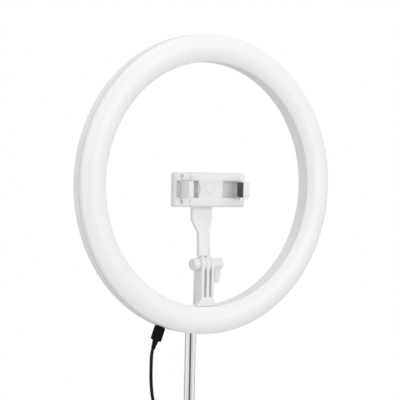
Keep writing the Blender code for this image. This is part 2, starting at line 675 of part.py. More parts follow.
def make_holder(ring):
    holder = pivot("holder_frame", ring, (0, HOLDER_SHIFT, 0))
    make_post(holder)
    make_hinge_hardware(holder)
    arm_axis = pivot("arm_axis", holder, (0, HINGE_Y, HINGE_Z))
    make_arm(arm_axis)
    make_swivel_screw(arm_axis)
    swivel = pivot("clamp_swivel_axis", arm_axis, (0, 0, SWIVEL_Z - HINGE_Z))
    clamp = pivot("clamp_frame", swivel, (0, -HINGE_Y, -SWIVEL_Z))
    make_clamp_body(clamp)
    make_spring(clamp)
    make_jaw("right", RIGHT_JAW_X, 5.8, clamp)
    slide = pivot("clamp_slide_axis", clamp, (0, 0, 0))
    make_slide_end(slide)
    make_rods(slide)
    make_jaw("left", LEFT_JAW_X, 4.0, slide)


# ---------------------------------------------------------------- sliding mast
def lobed_knob(name, parent, at, rot, start, length, radius, bore, lobes=6):
    """A hand knob with scalloped sides and a blind bore at its near end."""
    points = []
    for i in range(lobes * 6):
        a = math.tau * i / (lobes * 6)
        points.append((radius - 0.09 * radius * (1 - math.cos(lobes * a)), a))
    points = [(r * math.cos(a), r * math.sin(a)) for r, a in points]
    knob = outline(name, points, start, start + length, "black_plastic", parent, at, rot)
    combine(knob, add("knob_bore", rod_data(bore, start - 1.0, start + 3.2, 16), "steel", parent,
                      at, rot))
    return knob


def make_mast(mast):
    """Sliding tube, its bushing, the tilt fork, its bolt and knob, and the cable clip."""
    top = RING_Z - 147.5
    bottom = 85.0
    inner = TUBE_R - TUBE_WALL
    turned("mast_tube", [(TUBE_R, top), (TUBE_R, bottom), (inner, bottom), (inner, top)], "chrome",
           mast, steps=40, closed=True)
    bushing = [(0.0, bottom + 14.0), (inner - 0.25, bottom + 14.0), (inner - 0.25, bottom - GAP),
               (COLUMN_R - COLUMN_WALL - 0.3, bottom - GAP), (COLUMN_R - COLUMN_WALL - 0.3, bottom - 6.0),
               (0.0, bottom - 6.0)]
    turned("mast_bushing", bushing, "black_plastic", mast, steps=24)
    tilt_z = RING_Z + TILT_Z
    base = [(0.0, top + 3.4), (6.4, top + 3.4), (7.2, top + 2.6), (7.2, top + GAP),
            (inner - 0.25, top + GAP), (inner - 0.25, top - 22.0), (0.0, top - 22.0)]
    fork = turned("tilt_fork", base, "black_plastic", mast, steps=28)
    ear = arc((0, tilt_z), 6.5, 0, 180, 11) + [(-6.5, top + 1.2), (6.5, top + 1.2)]
    for x in (-7.4, 4.2):
        combine(fork, side_outline("fork_ear", ear, x, x + 3.2, "steel", mast), "UNION")
    bore_x(fork, mast, 0, tilt_z, 2.7, -9.0, 9.0)
    bolt = [(0.0, 9.6), (2.4, 9.6), (2.4, -7.7), (4.4, -7.7), (4.4, -9.4), (3.6, -10.1), (0.0, -10.1)]
    turned("tilt_bolt", bolt, "steel", mast, (0, 0, tilt_z), FACE_X, steps=20)
    knob_axis = pivot("tilt_knob_axis", mast, (0, 0, tilt_z))
    lobed_knob("tilt_knob", knob_axis, (0, 0, 0), FACE_X, 7.7, 11.5, 8.2, 2.7)
    make_clip(mast)


def make_clip(mast):
    """Snap ring on the sliding tube with a block that grips the cable."""
    low, high = CLIP_Z
    ring_r = (TUBE_R + GAP, 8.6)
    clip = turned("mast_clip", [(ring_r[1], high), (ring_r[1], low), (ring_r[0], low),
                                (ring_r[0], high)], "black_plastic", mast, steps=28, closed=True)
    block = add("clip_block", box_data((-18.6, -3.4, low), (-7.6, 3.4, high)), "steel", mast)
    combine(clip, block, "UNION")


# ---------------------------------------------------------------- column and tripod
def make_column(column):
    """Fixed tube, its end plug, the collar with a cable hook, and the lock knob."""
    inner = COLUMN_R - COLUMN_WALL
    top, bottom = COLLAR_Z[0] + 16.0, 62.0
    turned("column_tube", [(COLUMN_R, top), (COLUMN_R, bottom), (inner, bottom), (inner, top)],
           "chrome", column, steps=40, closed=True)
    plug = [(0.0, 78.6), (inner - 0.25, 78.6), (inner - 0.25, bottom - GAP), (10.5, bottom - GAP),
            (10.5, bottom - 3.5), (9.0, bottom - 5.0), (0.0, bottom - 5.0)]
    turned("column_plug", plug, "black_plastic", column, steps=28)
    low, high = COLLAR_Z
    wide, narrow = COLUMN_R + 0.25, TUBE_R + 0.25
    profile = [(narrow, high), (11.6, high), (13.0, high - 1.6), (13.0, low + 2.0), (11.8, low),
               (wide, low), (wide, top + GAP), (narrow, top + GAP)]
    collar = turned("collar", profile, "black_plastic", column, steps=36, closed=True)
    hook = add("collar_hook", box_data((-18.6, -3.4, HOOK_Z[0]), (-12.0, 3.4, HOOK_Z[1])), "steel",
               column)
    combine(collar, hook, "UNION")
    combine(collar, add("lock_bore", rod_data(2.8, 4.0, 16.0, 16), "steel", column,
                        (0, 0, KNOB_Z), FACE_BACK))
    axis = pivot("lock_knob_axis", column, (0, 0, KNOB_Z))
    knob = lobed_knob("lock_knob", axis, (0, 0, 0), FACE_BACK, 14.0, 16.0, 10.5, 1.0)
    combine(knob, add("lock_thread", rod_data(2.5, TUBE_R + 0.5, 20.0, 16), "steel", axis,
                      (0, 0, 0), FACE_BACK), "UNION")


def make_hub(base):
    """Plastic hub around the column with one slot and one pin bore for each leg."""
    low, high = HUB_Z
    bore = COLUMN_R + 0.3
    profile = [(bore, high + 6.0), (11.5, high + 6.0), (13.0, high + 4.5), (15.0, high),
               (HUB_R - 4.0, high - 3.0), (HUB_R, high - 8.0), (HUB_R, low + 4.0),
               (HUB_R - 3.0, low), (bore, low)]
    hub = turned("leg_hub", profile, "black_plastic", base, steps=36, closed=True)
    for number, angle in enumerate(LEG_ANGLES, 1):
        turn = (0, 0, angle)
        cut_box(hub, base, (LEG_HINGE_R - 8.6, -6.4, low - 5.0),
                (HUB_R + 10.0, 6.4, LEG_HINGE_Z + 8.6), (0, 0, 0), turn)
        hole = add("pin_bore", rod_data(2.2, -22.0, 22.0, 12), "steel", base,
                   turned_point((LEG_HINGE_R, 0, LEG_HINGE_Z), angle), (90, 0, angle))
        combine(hub, hole)
        add(f"leg_pin_{number}", rod_data(1.9, -15.0, 15.0, 12), "steel", base,
            turned_point((LEG_HINGE_R, 0, LEG_HINGE_Z), angle), (90, 0, angle))


def turned_point(point, angle):
    a = math.radians(angle)
    x, y, z = point
    return (x * math.cos(a) - y * math.sin(a), x * math.sin(a) + y * math.cos(a), z)


def make_leg(base, number, angle):
    """One straight leg with a down-turned end and a rubber foot, in its hinge's frame."""
    axis = pivot(f"leg_{number}_axis", base, turned_point((LEG_HINGE_R, 0, LEG_HINGE_Z), angle),
                 angle)
    reach, drop = FOOT_R - LEG_HINGE_R, LEG_HINGE_Z - 12.3
    slope = math.atan2(drop - 8.0, reach - 8.0)
    stations = [(-5.2, 4.6, 4.6), (0.0, 6.0, 6.8), (7.0, 6.0, 6.6), (16.0, 6.2, 6.0),
                (0.55 * reach, 5.6, 4.6), (reach - 18.0, 5.2, 4.0)]
    rings = []
    for along, half_w, half_t in stations:
        centre = Vector((along * math.cos(slope), 0, -along * math.sin(slope)))
        up = Vector((math.sin(slope), 0, math.cos(slope)))
        rings.append(leg_ring(centre, up, half_w, half_t))
    bend = [(reach - 7.0, -(drop - 9.5), 35.0), (reach - 1.6, -(drop - 5.0), 68.0),
            (reach, -drop, 90.0)]
    for x, z, degrees in bend:
        a = math.radians(degrees)
        up = Vector((math.sin(a), 0, math.cos(a)))
        rings.append(leg_ring(Vector((x, 0, z)), up, 5.2, 4.6))
    leg = loft(f"leg_{number}", rings, "black_plastic", axis)
    hole = add("leg_bore", rod_data(2.2, -9.0, 9.0, 12), "steel", axis, (0, 0, 0), (90, 0, 0))
    combine(leg, hole)
    foot = [(0.0, 12.0), (7.4, 12.0), (8.2, 11.2), (9.6, 2.0), (8.8, 0.0), (0.0, 0.0)]
    turned(f"foot_{number}", foot, "black_rubber", axis, (reach, 0, -LEG_HINGE_Z), steps=24)


def leg_ring(centre, up, half_w, half_t):
    """A rounded section across the leg: width along Y, thickness along up."""
    return [centre + Vector((0, y, 0)) + up * t for y, t in rounded(half_w, half_t, 2.4, 3)]


# ---------------------------------------------------------------- cable
def make_cable(head, mast, base):
    """Cable in three stretches between clips, its coil on the floor, tie and USB plug."""
    up = (0, COLUMN_BACK, -RING_Z)
    upper = [tuple(a + b for a, b in zip(p, up)) for p in UPPER_ROUTE]
    wire("cord_upper", smooth_route(upper, 4.0), CORD_R, "cable", head)
    middle = [(CORD_X, 0, CLIP_Z[0] - GAP), (CORD_X, 0, HOOK_Z[1] + GAP)]
    wire("cord_middle", middle, CORD_R, "cable", mast)
    wire("cord_lower", smooth_route(LOWER_ROUTE, 7.0), CORD_R, "cable", base)
    x, y = COIL_AT
    profile = [(COIL_R[1], COIL_H - 2.0), (COIL_R[1], 2.0), (COIL_R[1] - 2.0, 0.0),
               (COIL_R[0] + 2.0, 0.0), (COIL_R[0], 2.0), (COIL_R[0], COIL_H - 2.0),
               (COIL_R[0] + 2.0, COIL_H), (COIL_R[1] - 2.0, COIL_H)]
    turned("cord_coil", profile, "cable", base, (x, y, COIL_LIFT), steps=24, closed=True)
    make_tie(base)
    wire("cord_tail", smooth_route(TAIL_ROUTE, 6.0), CORD_R, "cable", base)
    make_usb_plug(base)


def make_tie(base):
    """Strap wrapped around one side of the coil."""
    x, y = COIL_AT
    mid = 0.5 * (COIL_R[0] + COIL_R[1])
    half, wall = 0.5 * (COIL_R[1] - COIL_R[0]), 0.9
    outer = rounded(half + wall + 0.8, 0.5 * COIL_H + wall + 0.25, 2.6, 4)
    tie = front_outline("cord_tie", outer, -4.0, 4.0, "black_rubber", base)
    inner = rounded(half + 0.8, 0.5 * COIL_H + 0.25, 1.6, 4)
    hole = front_outline("tie_hole", inner, -9.0, 9.0, "steel", base)
    for obj in (tie, hole):
        obj.location = vec((x - mid, y, COIL_LIFT + 0.5 * COIL_H))
    combine(tie, hole)


def make_usb_plug(base):
    """Flat USB plug lying beside the coil."""
    y, z = TAIL_ROUTE[-1][1], TAIL_ROUTE[-1][2]
    start = TAIL_ROUTE[-1][0] + GAP
    stages = [(0.0, 2.3, 2.3), (6.0, 2.8, 2.7), (7.0, 5.6, 3.6), (9.0, 6.8, 3.9), (26.0, 6.8, 3.9),
              (27.0, 6.3, 3.4)]
    rings = [[(start + along, y + a, z + b) for a, b in rounded(half_y, half_z, 1.6, 3)]
             for along, half_y, half_z in stages]
    loft("usb_plug_body", rings, "black_plastic", base)
    end = start + 27.0 + GAP
    shell = add("usb_plug_shell", box_data((end, y - 6.0, z - 2.25), (end + 12.0, y + 6.0, z + 2.25)),
                "steel", base)
    cut_box(shell, base, (end + 2.0, y - 5.6, z - 0.2), (end + 14.0, y + 5.6, z + 1.85))


def build():
    stand = pivot("column_axis", None, (0, COLUMN_Y, 0))
    base = pivot("base", stand, (0, 0, 0))
    column = pivot("column", stand, (0, 0, 0))
    mast = pivot("mast", column, (0, 0, 0))
    head = make_head(mast)
    make_holder(head)
    make_mast(mast)
    make_column(column)
    make_hub(base)
    for number, angle in enumerate(LEG_ANGLES, 1):
        make_leg(base, number, angle)
    make_cable(head, mast, base)


build()
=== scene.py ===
"""Looks of the ring light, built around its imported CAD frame.

Metres, +Z up, the lamp faces -Y. Shapes are written in millimetres in one of two frames:
the ring's (origin at the ring's centre on the diffuser's seam, Y backwards) and the
column's (origin on the floor on the column's axis).
"""

import json
from math import acos, asin, atan2, cos, degrees, radians, sin, sqrt, tau

import bmesh
import bpy
from mathutils import Matrix, Vector


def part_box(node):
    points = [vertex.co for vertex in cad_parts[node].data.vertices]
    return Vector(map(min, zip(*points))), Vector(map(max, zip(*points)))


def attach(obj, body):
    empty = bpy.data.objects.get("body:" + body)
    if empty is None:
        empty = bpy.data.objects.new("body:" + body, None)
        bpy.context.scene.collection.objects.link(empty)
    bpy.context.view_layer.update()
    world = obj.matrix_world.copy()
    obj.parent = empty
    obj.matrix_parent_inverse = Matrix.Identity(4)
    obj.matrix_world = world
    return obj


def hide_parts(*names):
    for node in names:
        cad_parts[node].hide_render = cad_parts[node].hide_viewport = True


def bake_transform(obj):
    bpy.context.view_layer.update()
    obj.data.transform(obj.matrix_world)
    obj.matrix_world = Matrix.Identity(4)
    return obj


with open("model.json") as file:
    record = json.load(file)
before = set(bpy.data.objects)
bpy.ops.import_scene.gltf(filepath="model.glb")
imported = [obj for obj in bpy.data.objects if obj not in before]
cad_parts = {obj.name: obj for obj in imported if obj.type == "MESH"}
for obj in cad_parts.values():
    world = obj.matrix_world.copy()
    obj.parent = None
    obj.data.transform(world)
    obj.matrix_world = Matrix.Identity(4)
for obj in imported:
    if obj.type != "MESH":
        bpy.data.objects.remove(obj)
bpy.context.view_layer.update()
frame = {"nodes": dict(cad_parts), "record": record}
MM = 0.001
BODY_OF = {node: body for body, nodes in frame["record"]["behaviour"]["bodies"].items()
           for node in nodes}
SLOT_OF = {name: obj.data.materials[0].name.split(".")[0] for name, obj in frame["nodes"].items()}


def middle(node):
    """The centre of a node's box."""
    low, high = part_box(node)
    return (low + high) / 2


SEAM = 0.15   # half the gap between the diffuser and the housing
RING = middle("rear_housing")
RING.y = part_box("rear_housing")[0].y - SEAM * MM
COLUMN = middle("column_tube")
COLUMN.z = 0.0
RING_FRAME = Matrix.Translation(RING) @ Matrix.Scale(MM, 4)
COLUMN_FRAME = Matrix.Translation(COLUMN) @ Matrix.Scale(MM, 4)


def ring_at(x, y, z):
    """The ring's frame moved by a distance in millimetres."""
    return RING_FRAME @ Matrix.Translation((x, y, z))


def column_at(x, y, z):
    """The column's frame moved by a distance in millimetres."""
    return COLUMN_FRAME @ Matrix.Translation((x, y, z))


def link(name, data):
    """A new object in the scene."""
    obj = bpy.data.objects.new(name, data)
    bpy.context.scene.collection.objects.link(obj)
    return obj


# ---------------------------------------- camera
VIEW_ANGLES = (-34.5, 1.36, 1.2)       # azimuth, elevation and roll in degrees
VIEW_OFFSET = (-10.9, -15.5, 1500.0)   # right, up and back from the ring's centre
LENS = 135.0


def make_camera():
    """A long lens at the lamp's height, turned to its left."""
    azimuth, elevation, roll = (radians(a) for a in VIEW_ANGLES)
    back = Vector((sin(azimuth) * cos(elevation),
                   -cos(azimuth) * cos(elevation), sin(elevation)))
    turn = (-back).to_track_quat("-Z", "Y").to_matrix().to_4x4() @ Matrix.Rotation(roll, 4, "Z")
    camera = link("camera", bpy.data.cameras.new("camera"))
    camera.data.lens = LENS
    camera.matrix_world = (Matrix.Translation(RING + turn.to_3x3() @ Vector(VIEW_OFFSET) * MM)
                           @ turn)
    bpy.context.scene.camera = camera


# ---------------------------------------- mesh helpers
def solid(name, verts, faces, at):
    """One mesh object from points in frame at, with outward normals."""
    mesh = bpy.data.meshes.new(name)
    mesh.from_pydata([at @ Vector(v) for v in verts], [], faces)
    bm = bmesh.new()
    bm.from_mesh(mesh)
    bmesh.ops.remove_doubles(bm, verts=bm.verts, dist=1e-7)
    bmesh.ops.recalc_face_normals(bm, faces=bm.faces)
    bm.to_mesh(mesh)
    bm.free()
    return link(name, mesh)


def loft(name, rings, at=RING_FRAME):
    """Join rings with equal point counts into a closed solid."""
    count = len(rings[0])
    verts = [p for ring in rings for p in ring]
    faces = [(a * count + i, a * count + (i + 1) % count,
              (a + 1) * count + (i + 1) % count, (a + 1) * count + i)
             for a in range(len(rings) - 1) for i in range(count)]
    faces += [tuple(range(count)), tuple(range(len(verts) - count, len(verts)))]
    return solid(name, verts, faces, at)


# where a point (u, v) of an outline goes at a height along each axis
AXES = {
    "X": lambda u, v, h: (h, u, v),
    "Y": lambda u, v, h: (u, h, v),
    "FRONT": lambda u, v, h: (u, -h, v),
    "Z": lambda u, v, h: (u, v, h),
}


def lathe(name, profile, at=RING_FRAME, axis="Z", steps=64):
    """Turn an (r, height) profile about an axis. One that starts on the axis also ends there;
    any other closes on itself."""
    place, count, verts, faces = AXES[axis], len(profile), [], []
    closed = profile[0][0] > 1e-6
    for k in range(steps):
        a = tau * k / steps
        verts += [place(r * cos(a), r * sin(a), h) for r, h in profile]
    for k in range(steps):
        first, second = k * count, (k + 1) % steps * count
        for i in range(count if closed else count - 1):
            j = (i + 1) % count
            faces.append((first + i, second + i, second + j, first + j))
    return solid(name, verts, faces, at)


def prism(name, points, low, high, axis="Y", at=RING_FRAME):
    """Extrude an outline from low to high along an axis of the frame."""
    return loft(name, [[AXES[axis](*p, h) for p in points] for h in (low, high)], at)


def block(low, high, at=RING_FRAME):
    """A cutting block."""
    corners = [(low[0], low[1]), (high[0], low[1]), (high[0], high[1]), (low[0], high[1])]
    return prism("block", corners, low[2], high[2], "Z", at)


def drill(radius, low, high, centre=(0, 0, 0), axis="X", at=RING_FRAME, steps=32):
    """A cutting cylinder."""
    profile = [(0, low), (radius, low), (radius, high), (0, high)]
    return lathe("drill", profile, at @ Matrix.Translation(centre), axis, steps)


def bake(obj):
    """Apply an object's modifiers."""
    graph = bpy.context.evaluated_depsgraph_get()
    mesh = bpy.data.meshes.new_from_object(obj.evaluated_get(graph))
    obj.modifiers.clear()
    obj.data = mesh
    return obj


def tidy(obj, merge=0.01, flat=0.6):
    """Merge stray points and dissolve flat edges."""
    bm = bmesh.new()
    bm.from_mesh(obj.data)
    bmesh.ops.remove_doubles(bm, verts=bm.verts, dist=merge * MM)
    bmesh.ops.dissolve_limit(bm, angle_limit=radians(flat), verts=bm.verts, edges=bm.edges)
    bm.to_mesh(obj.data)
    bm.free()
    return obj


def boolean(obj, tools, operation="DIFFERENCE"):
    """Cut tools from an object, or join them to it."""
    for tool in tools:
        mod = obj.modifiers.new("boolean", "BOOLEAN")
        mod.operation, mod.solver, mod.object = operation, "EXACT", tool
    bake(obj)
    for tool in tools:
        bpy.data.objects.remove(tool, do_unlink=True)
    return tidy(obj)


def soften(obj, width=0, segments=2, limit=30.0, sharp=32.0):
    """Round an object's edges and shade it smooth."""
    if width:
        mod = obj.modifiers.new("round", "BEVEL")
        mod.width, mod.segments = width * MM, segments
        mod.limit_method, mod.angle_limit = "ANGLE", radians(limit)
        bake(obj)
    obj.data.shade_smooth()
    obj.data.set_sharp_from_angle(angle=radians(sharp))
    return obj


def arc(centre, radius, start, end, count):
    """Points on an arc, angles in degrees."""
    step = (end - start) / (count - 1)
    return [(centre[0] + radius * cos(radians(start + i * step)),
             centre[1] + radius * sin(radians(start + i * step))) for i in range(count)]


def rounded(half_x, half_y, corner, count=5):
    """A rounded rectangle about the origin."""
    points = []
    for sx, sy, start in ((1, 1, 0), (-1, 1, 90), (-1, -1, 180), (1, -1, 270)):
        points += arc((sx * (half_x - corner), sy * (half_y - corner)), corner, start,
                      start + 90, count)
    return points


HOLDER_SHIFT = Vector((0, -1.7, 0)) * MM   # how far forward of its drawing the holder stands
HOLDER_BODIES = ("hinge_knob", "arm", "clamp", "clamp_slide", "left_jaw", "right_jaw")
HOLDER_NODES = ("holder_post", "hinge_bolt", "hinge_nut_cap")


def publish(obj, nodes, finish=None, ride=True):
    """Put a piece on its body in place of the CAD nodes it stands for. Pieces of the holder
    are drawn in ring coordinates and moved to their place here."""
    nodes = [nodes] if isinstance(nodes, str) else nodes
    if nodes[0] in HOLDER_NODES or BODY_OF[nodes[0]] in HOLDER_BODIES:
        obj.data.transform(Matrix.Translation(HOLDER_SHIFT))
    slot = SLOT_OF[nodes[0]]
    obj.name = nodes[0] + ".fine"
    obj.data.materials.clear()
    obj.data.materials.append(FINISHES[finish or slot])
    if ride:
        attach(obj, BODY_OF[nodes[0]])
    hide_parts(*nodes)
    return obj


def refine(node, width, segments=2, finish=None, limit=30.0):
    """A rounded copy of a CAD node's own shape."""
    obj = link(node + ".fine", frame["nodes"][node].data.copy())
    tidy(obj)
    return publish(soften(obj, width, segments, limit), node, finish)


# ---------------------------------------- materials
BUMP_DEPTH = 0.0002          # metres
WEAR = 0.55                  # how far a worn edge goes to its worn colour
WEAR_EDGES = (0.54, 0.62)    # pointiness where wear starts and where it is full


def shader(tree, kind, **values):
    """A new shader node with values in its sockets."""
    node = tree.nodes.new("ShaderNode" + kind)
    for socket, value in values.items():
        node.inputs[socket.replace("_", " ")].default_value = value
    return node


def link_noise(tree, scale, stretch, detail):
    """Noise that sticks to the object."""
    place = shader(tree, "TexCoord")
    mapping = shader(tree, "Mapping", Scale=stretch)
    noise = shader(tree, "TexNoise", Scale=scale, Detail=detail)
    tree.links.new(place.outputs["Object"], mapping.inputs["Vector"])
    tree.links.new(mapping.outputs["Vector"], noise.inputs["Vector"])
    return noise.outputs["Fac"]


def link_range(tree, value, low, high, source=(0.3, 0.7)):
    """Spread a value's source range over low to high."""
    node = shader(tree, "MapRange", From_Min=source[0], From_Max=source[1], To_Min=low, To_Max=high)
    tree.links.new(value, node.inputs["Value"])
    return node.outputs["Result"]


def link_mix(tree, share, colour):
    """A node that goes to a colour with a share. Its A input is still free."""
    mix = tree.nodes.new("ShaderNodeMix")
    mix.data_type = "RGBA"
    mix.inputs["B"].default_value = (*colour, 1.0)
    tree.links.new(share, mix.inputs["Factor"])
    return mix


def surface(name, dark, light, rough, metallic=0.0, coarse=30.0, grain=2600.0, bump=0.05,
            stretch=(1, 1, 1), worn=None, **sockets):
    """A procedural surface: slow colour change, fine grain in roughness and bump, worn edges."""
    mat = bpy.data.materials.new(name + "_finish")
    mat.use_nodes = True
    tree = mat.node_tree
    bsdf = tree.nodes["Principled BSDF"]
    slow = link_noise(tree, coarse, (1, 1, 1), 4.0)
    colour = link_mix(tree, link_range(tree, slow, 0.0, 1.0), light)
    colour.inputs["A"].default_value = (*dark, 1.0)
    if worn:
        edge = shader(tree, "NewGeometry").outputs["Pointiness"]
        mix = link_mix(tree, link_range(tree, edge, 0.0, WEAR, WEAR_EDGES), worn)
        tree.links.new(colour.outputs["Result"], mix.inputs["A"])
        colour = mix
    tree.links.new(colour.outputs["Result"], bsdf.inputs["Base Color"])
    fine = link_noise(tree, grain, stretch, 2.0)
    tree.links.new(link_range(tree, fine, *rough), bsdf.inputs["Roughness"])
    relief = shader(tree, "Bump", Strength=bump, Distance=BUMP_DEPTH)
    tree.links.new(fine, relief.inputs["Height"])
    tree.links.new(relief.outputs["Normal"], bsdf.inputs["Normal"])
    bsdf.inputs["Metallic"].default_value = metallic
    for socket, value in sockets.items():
        bsdf.inputs[socket.replace("_", " ")].default_value = value
    return mat


# darkest and lightest colour, range of roughness, then what differs from plain plastic
FINISHES = {
    "diffuser": surface("diffuser", (0.865, 0.867, 0.867), (0.89, 0.89, 0.887), (0.30, 0.38),
                        coarse=12.0, grain=3200.0, bump=0.03),
    "white_plastic": surface("white_plastic", (0.80, 0.80, 0.795), (0.83, 0.83, 0.825),
                             (0.34, 0.46), bump=0.10, grain=2400.0),
    "holder": surface("holder", (0.80, 0.795, 0.785), (0.835, 0.83, 0.82), (0.30, 0.42),
                      bump=0.08, grain=2200.0),
    "button": surface("button", (0.74, 0.74, 0.735), (0.77, 0.77, 0.765), (0.36, 0.46),
                      bump=0.06),
    "circuit": surface("circuit", (0.76, 0.77, 0.74), (0.82, 0.83, 0.80), (0.42, 0.55)),
    "steel": surface("steel", (0.52, 0.52, 0.52), (0.66, 0.66, 0.65), (0.22, 0.38), 1.0,
                     grain=1800.0, bump=0.12),
    "chrome": surface("chrome", (0.78, 0.785, 0.79), (0.84, 0.84, 0.845), (0.06, 0.13), 1.0,
                      coarse=20.0, grain=2600.0, bump=0.015, stretch=(1, 1, 0.03)),
    "black_plastic": surface("black_plastic", (0.012, 0.012, 0.013), (0.026, 0.026, 0.028),
                             (0.42, 0.58), grain=1500.0, bump=0.25, worn=(0.05, 0.05, 0.052),
                             Specular_IOR_Level=0.22),
    "plug": surface("plug", (0.004, 0.004, 0.004), (0.009, 0.009, 0.0095), (0.45, 0.60),
                    grain=1500.0, bump=0.2, Specular_IOR_Level=0.03),
    "grey_rubber": surface("grey_rubber", (0.075, 0.073, 0.050), (0.12, 0.115, 0.085),
                           (0.62, 0.80), grain=1800.0, bump=0.30),
    "black_rubber": surface("black_rubber", (0.010, 0.010, 0.010), (0.028, 0.028, 0.027),
                            (0.66, 0.86), grain=1400.0, bump=0.35, worn=(0.05, 0.05, 0.048)),
    "cable": surface("cable", (0.004, 0.004, 0.004), (0.010, 0.010, 0.0105), (0.42, 0.58),
                     grain=2000.0, bump=0.12, Specular_IOR_Level=0.15),
}


# ---------------------------------------- cords
CORD_R = 1.65
CORD_X = -15.0   # the straight stretch beside the tube
UPPER_ROUTE = [
    (-59.73, -23.0, 477.67), (-60.7, -23.0, 474.6), (-61.3, -23.0, 469.5), (-61.45, -22.9, 461.0),
    (-61.0, -22.4, 448.0), (-59.0, -21.2, 434.5), (-55.0, -18.4, 424.0), (-48.5, -14.2, 415.0),
    (-39.8, -9.2, 408.3), (-30.4, -4.9, 403.4), (-22.3, -1.9, 399.0), (-17.0, -0.4, 393.8),
    (-15.1, 0.0, 389.2), (-15.0, 0.0, 384.5),
]
LOWER_ROUTE = [
    (-15.0, 0.0, 325.7), (-15.0, 0.0, 312.0), (-16.2, -0.8, 290.0), (-20.6, -3.0, 260.0),
    (-27.6, -6.4, 222.0), (-35.0, -10.0, 182.0), (-41.4, -13.2, 142.0), (-46.2, -15.6, 102.0),
    (-49.4, -17.4, 64.0), (-51.8, -18.6, 36.0), (-56.0, -20.6, 15.5), (-63.6, -24.0, 4.6),
    (-73.5, -28.4, 1.75), (-83.0, -32.6, 1.7), (-91.0, -35.8, 1.7), (-98.4, -37.8, 1.7),
]
TAIL_ROUTE = [
    (-98.0, -86.2, 11.7), (-92.0, -87.2, 10.6), (-84.0, -88.8, 7.9), (-76.0, -90.2, 5.3),
    (-68.0, -91.0, 4.1), (-60.0, -91.2, 4.0),
]
COIL_AT = (-112.0, -62.0)
COIL_COLUMNS = (23.4, 20.0, 16.6)
COIL_PITCH = 3.4
COIL_LAYERS = 4
COIL_HALF_TURNS = 23


def smooth_route(points, spacing):
    """Points at an even spacing on a smooth curve through the route's points."""
    path = [Vector(p) for p in points]
    ends = [2 * path[0] - path[1]] + path + [2 * path[-1] - path[-2]]
    fine = []
    for p0, p1, p2, p3 in zip(ends, ends[1:], ends[2:], ends[3:]):
        for i in range(12):
            t = i / 12.0
            fine.append(0.5 * (2 * p1 + (p2 - p0) * t + (2 * p0 - 5 * p1 + 4 * p2 - p3) * t * t
                               + (3 * p1 - p0 - 3 * p2 + p3) * t ** 3))
    fine.append(path[-1])
    picked, travelled = [fine[0]], 0.0
    for a, b in zip(fine, fine[1:]):
        travelled += (b - a).length
        if travelled >= spacing:
            picked.append(b)
            travelled = 0.0
    if (picked[-1] - fine[-1]).length > 0.2 * spacing:
        picked.append(fine[-1])
    return picked


def coil_path():
    """A neat round coil: three columns in each layer, wound in and out, layer upon layer."""
    tracks = []
    for layer in range(COIL_LAYERS):
        row = COIL_COLUMNS if layer % 2 == 0 else COIL_COLUMNS[::-1]
        tracks += [(r, CORD_R + 0.05 + layer * COIL_PITCH) for r in row]
    per_turn, points = 28, []
    for i in range(COIL_HALF_TURNS * per_turn // 2 + 1):
        turn, share = divmod(i, per_turn)
        blend = min(1.0, max(0.0, (share / per_turn - 0.82) / 0.18))
        blend = blend * blend * (3 - 2 * blend)
        (r, z), (r2, z2) = tracks[turn], tracks[min(turn + 1, len(tracks) - 1)]
        a = radians(90.0) + tau * i / per_turn
        r, z = r + (r2 - r) * blend, z + (z2 - z) * blend
        points.append((COIL_AT[0] + r * cos(a), COIL_AT[1] + r * sin(a), z))
    return points


def tube(name, path, radius, at, sides=14):
    """A round tube along a path, closed with flat ends."""
    points = [Vector(p) for p in path]
    tangents = [(b - a).normalized() for a, b in zip([points[0]] + points[:-1],
                                                     points[1:] + [points[-1]])]
    side, rings = tangents[0].orthogonal().normalized(), []
    for point, ahead in zip(points, tangents):
        side = (side - ahead * side.dot(ahead)).normalized()
        other = ahead.cross(side)
        rings.append([point + radius * (side * cos(a) + other * sin(a))
                      for a in (tau * k / sides for k in range(sides))])
    return loft(name, rings, at)


def make_cord(node, points, also=()):
    """One stretch of the lead along points in the column's frame."""
    cord = tube(node, points, CORD_R, COLUMN_FRAME)
    cord.data.shade_smooth()
    publish(cord, [node, *also], ride=False)
    return cord


def make_cords(usb_pieces):
    """The lead's three stretches, from the ring's plug to the USB plug."""
    upper = make_cord("cord_upper", smooth_route(UPPER_ROUTE, 2.5))
    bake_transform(upper)
    low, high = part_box("cord_middle")
    run = [(CORD_X, 0.0, high.z / MM - (high.z - low.z) / MM * i / 16) for i in range(17)]
    mid = make_cord("cord_middle", run)
    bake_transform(mid)
    whole = smooth_route(LOWER_ROUTE, 3.5) + coil_path() + smooth_route(TAIL_ROUTE, 2.5)
    lower = make_cord("cord_lower", whole, ("cord_coil", "cord_tail"))
    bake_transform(lower)


# ---------------------------------------- lamp head
RING_R, RING_R_IN, RING_DEPTH = 150.0, 122.3, 16.0
DOME_ARC = ((136.44, -10.35), 17.85)   # centre and radius of the diffuser's section
OUTER_LIP = 4.5                        # how far the diffuser reaches back over the housing
RING_MID = 0.5 * (RING_R + RING_R_IN)
BUTTON_ANGLES = (-128.0, -135.0, -142.0)
SCREW_ANGLES = (45.0, 135.0, 205.0, 335.0)
# the socket's frame: +X outwards through the middle of the housing's wall
SOCKET_FRAME = ring_at(0, 8.0, 0) @ Matrix.Rotation(radians(110.2), 4, "Y")
TILT_Y, TILT_Z = 31.0, -134.0
BOLT_BORE = 2.7


def mid_ring(angle):
    """A frame on the middle of the ring at an angle, square to the whole ring."""
    a = radians(angle)
    return ring_at(RING_MID * cos(a), 0.0, RING_MID * sin(a))


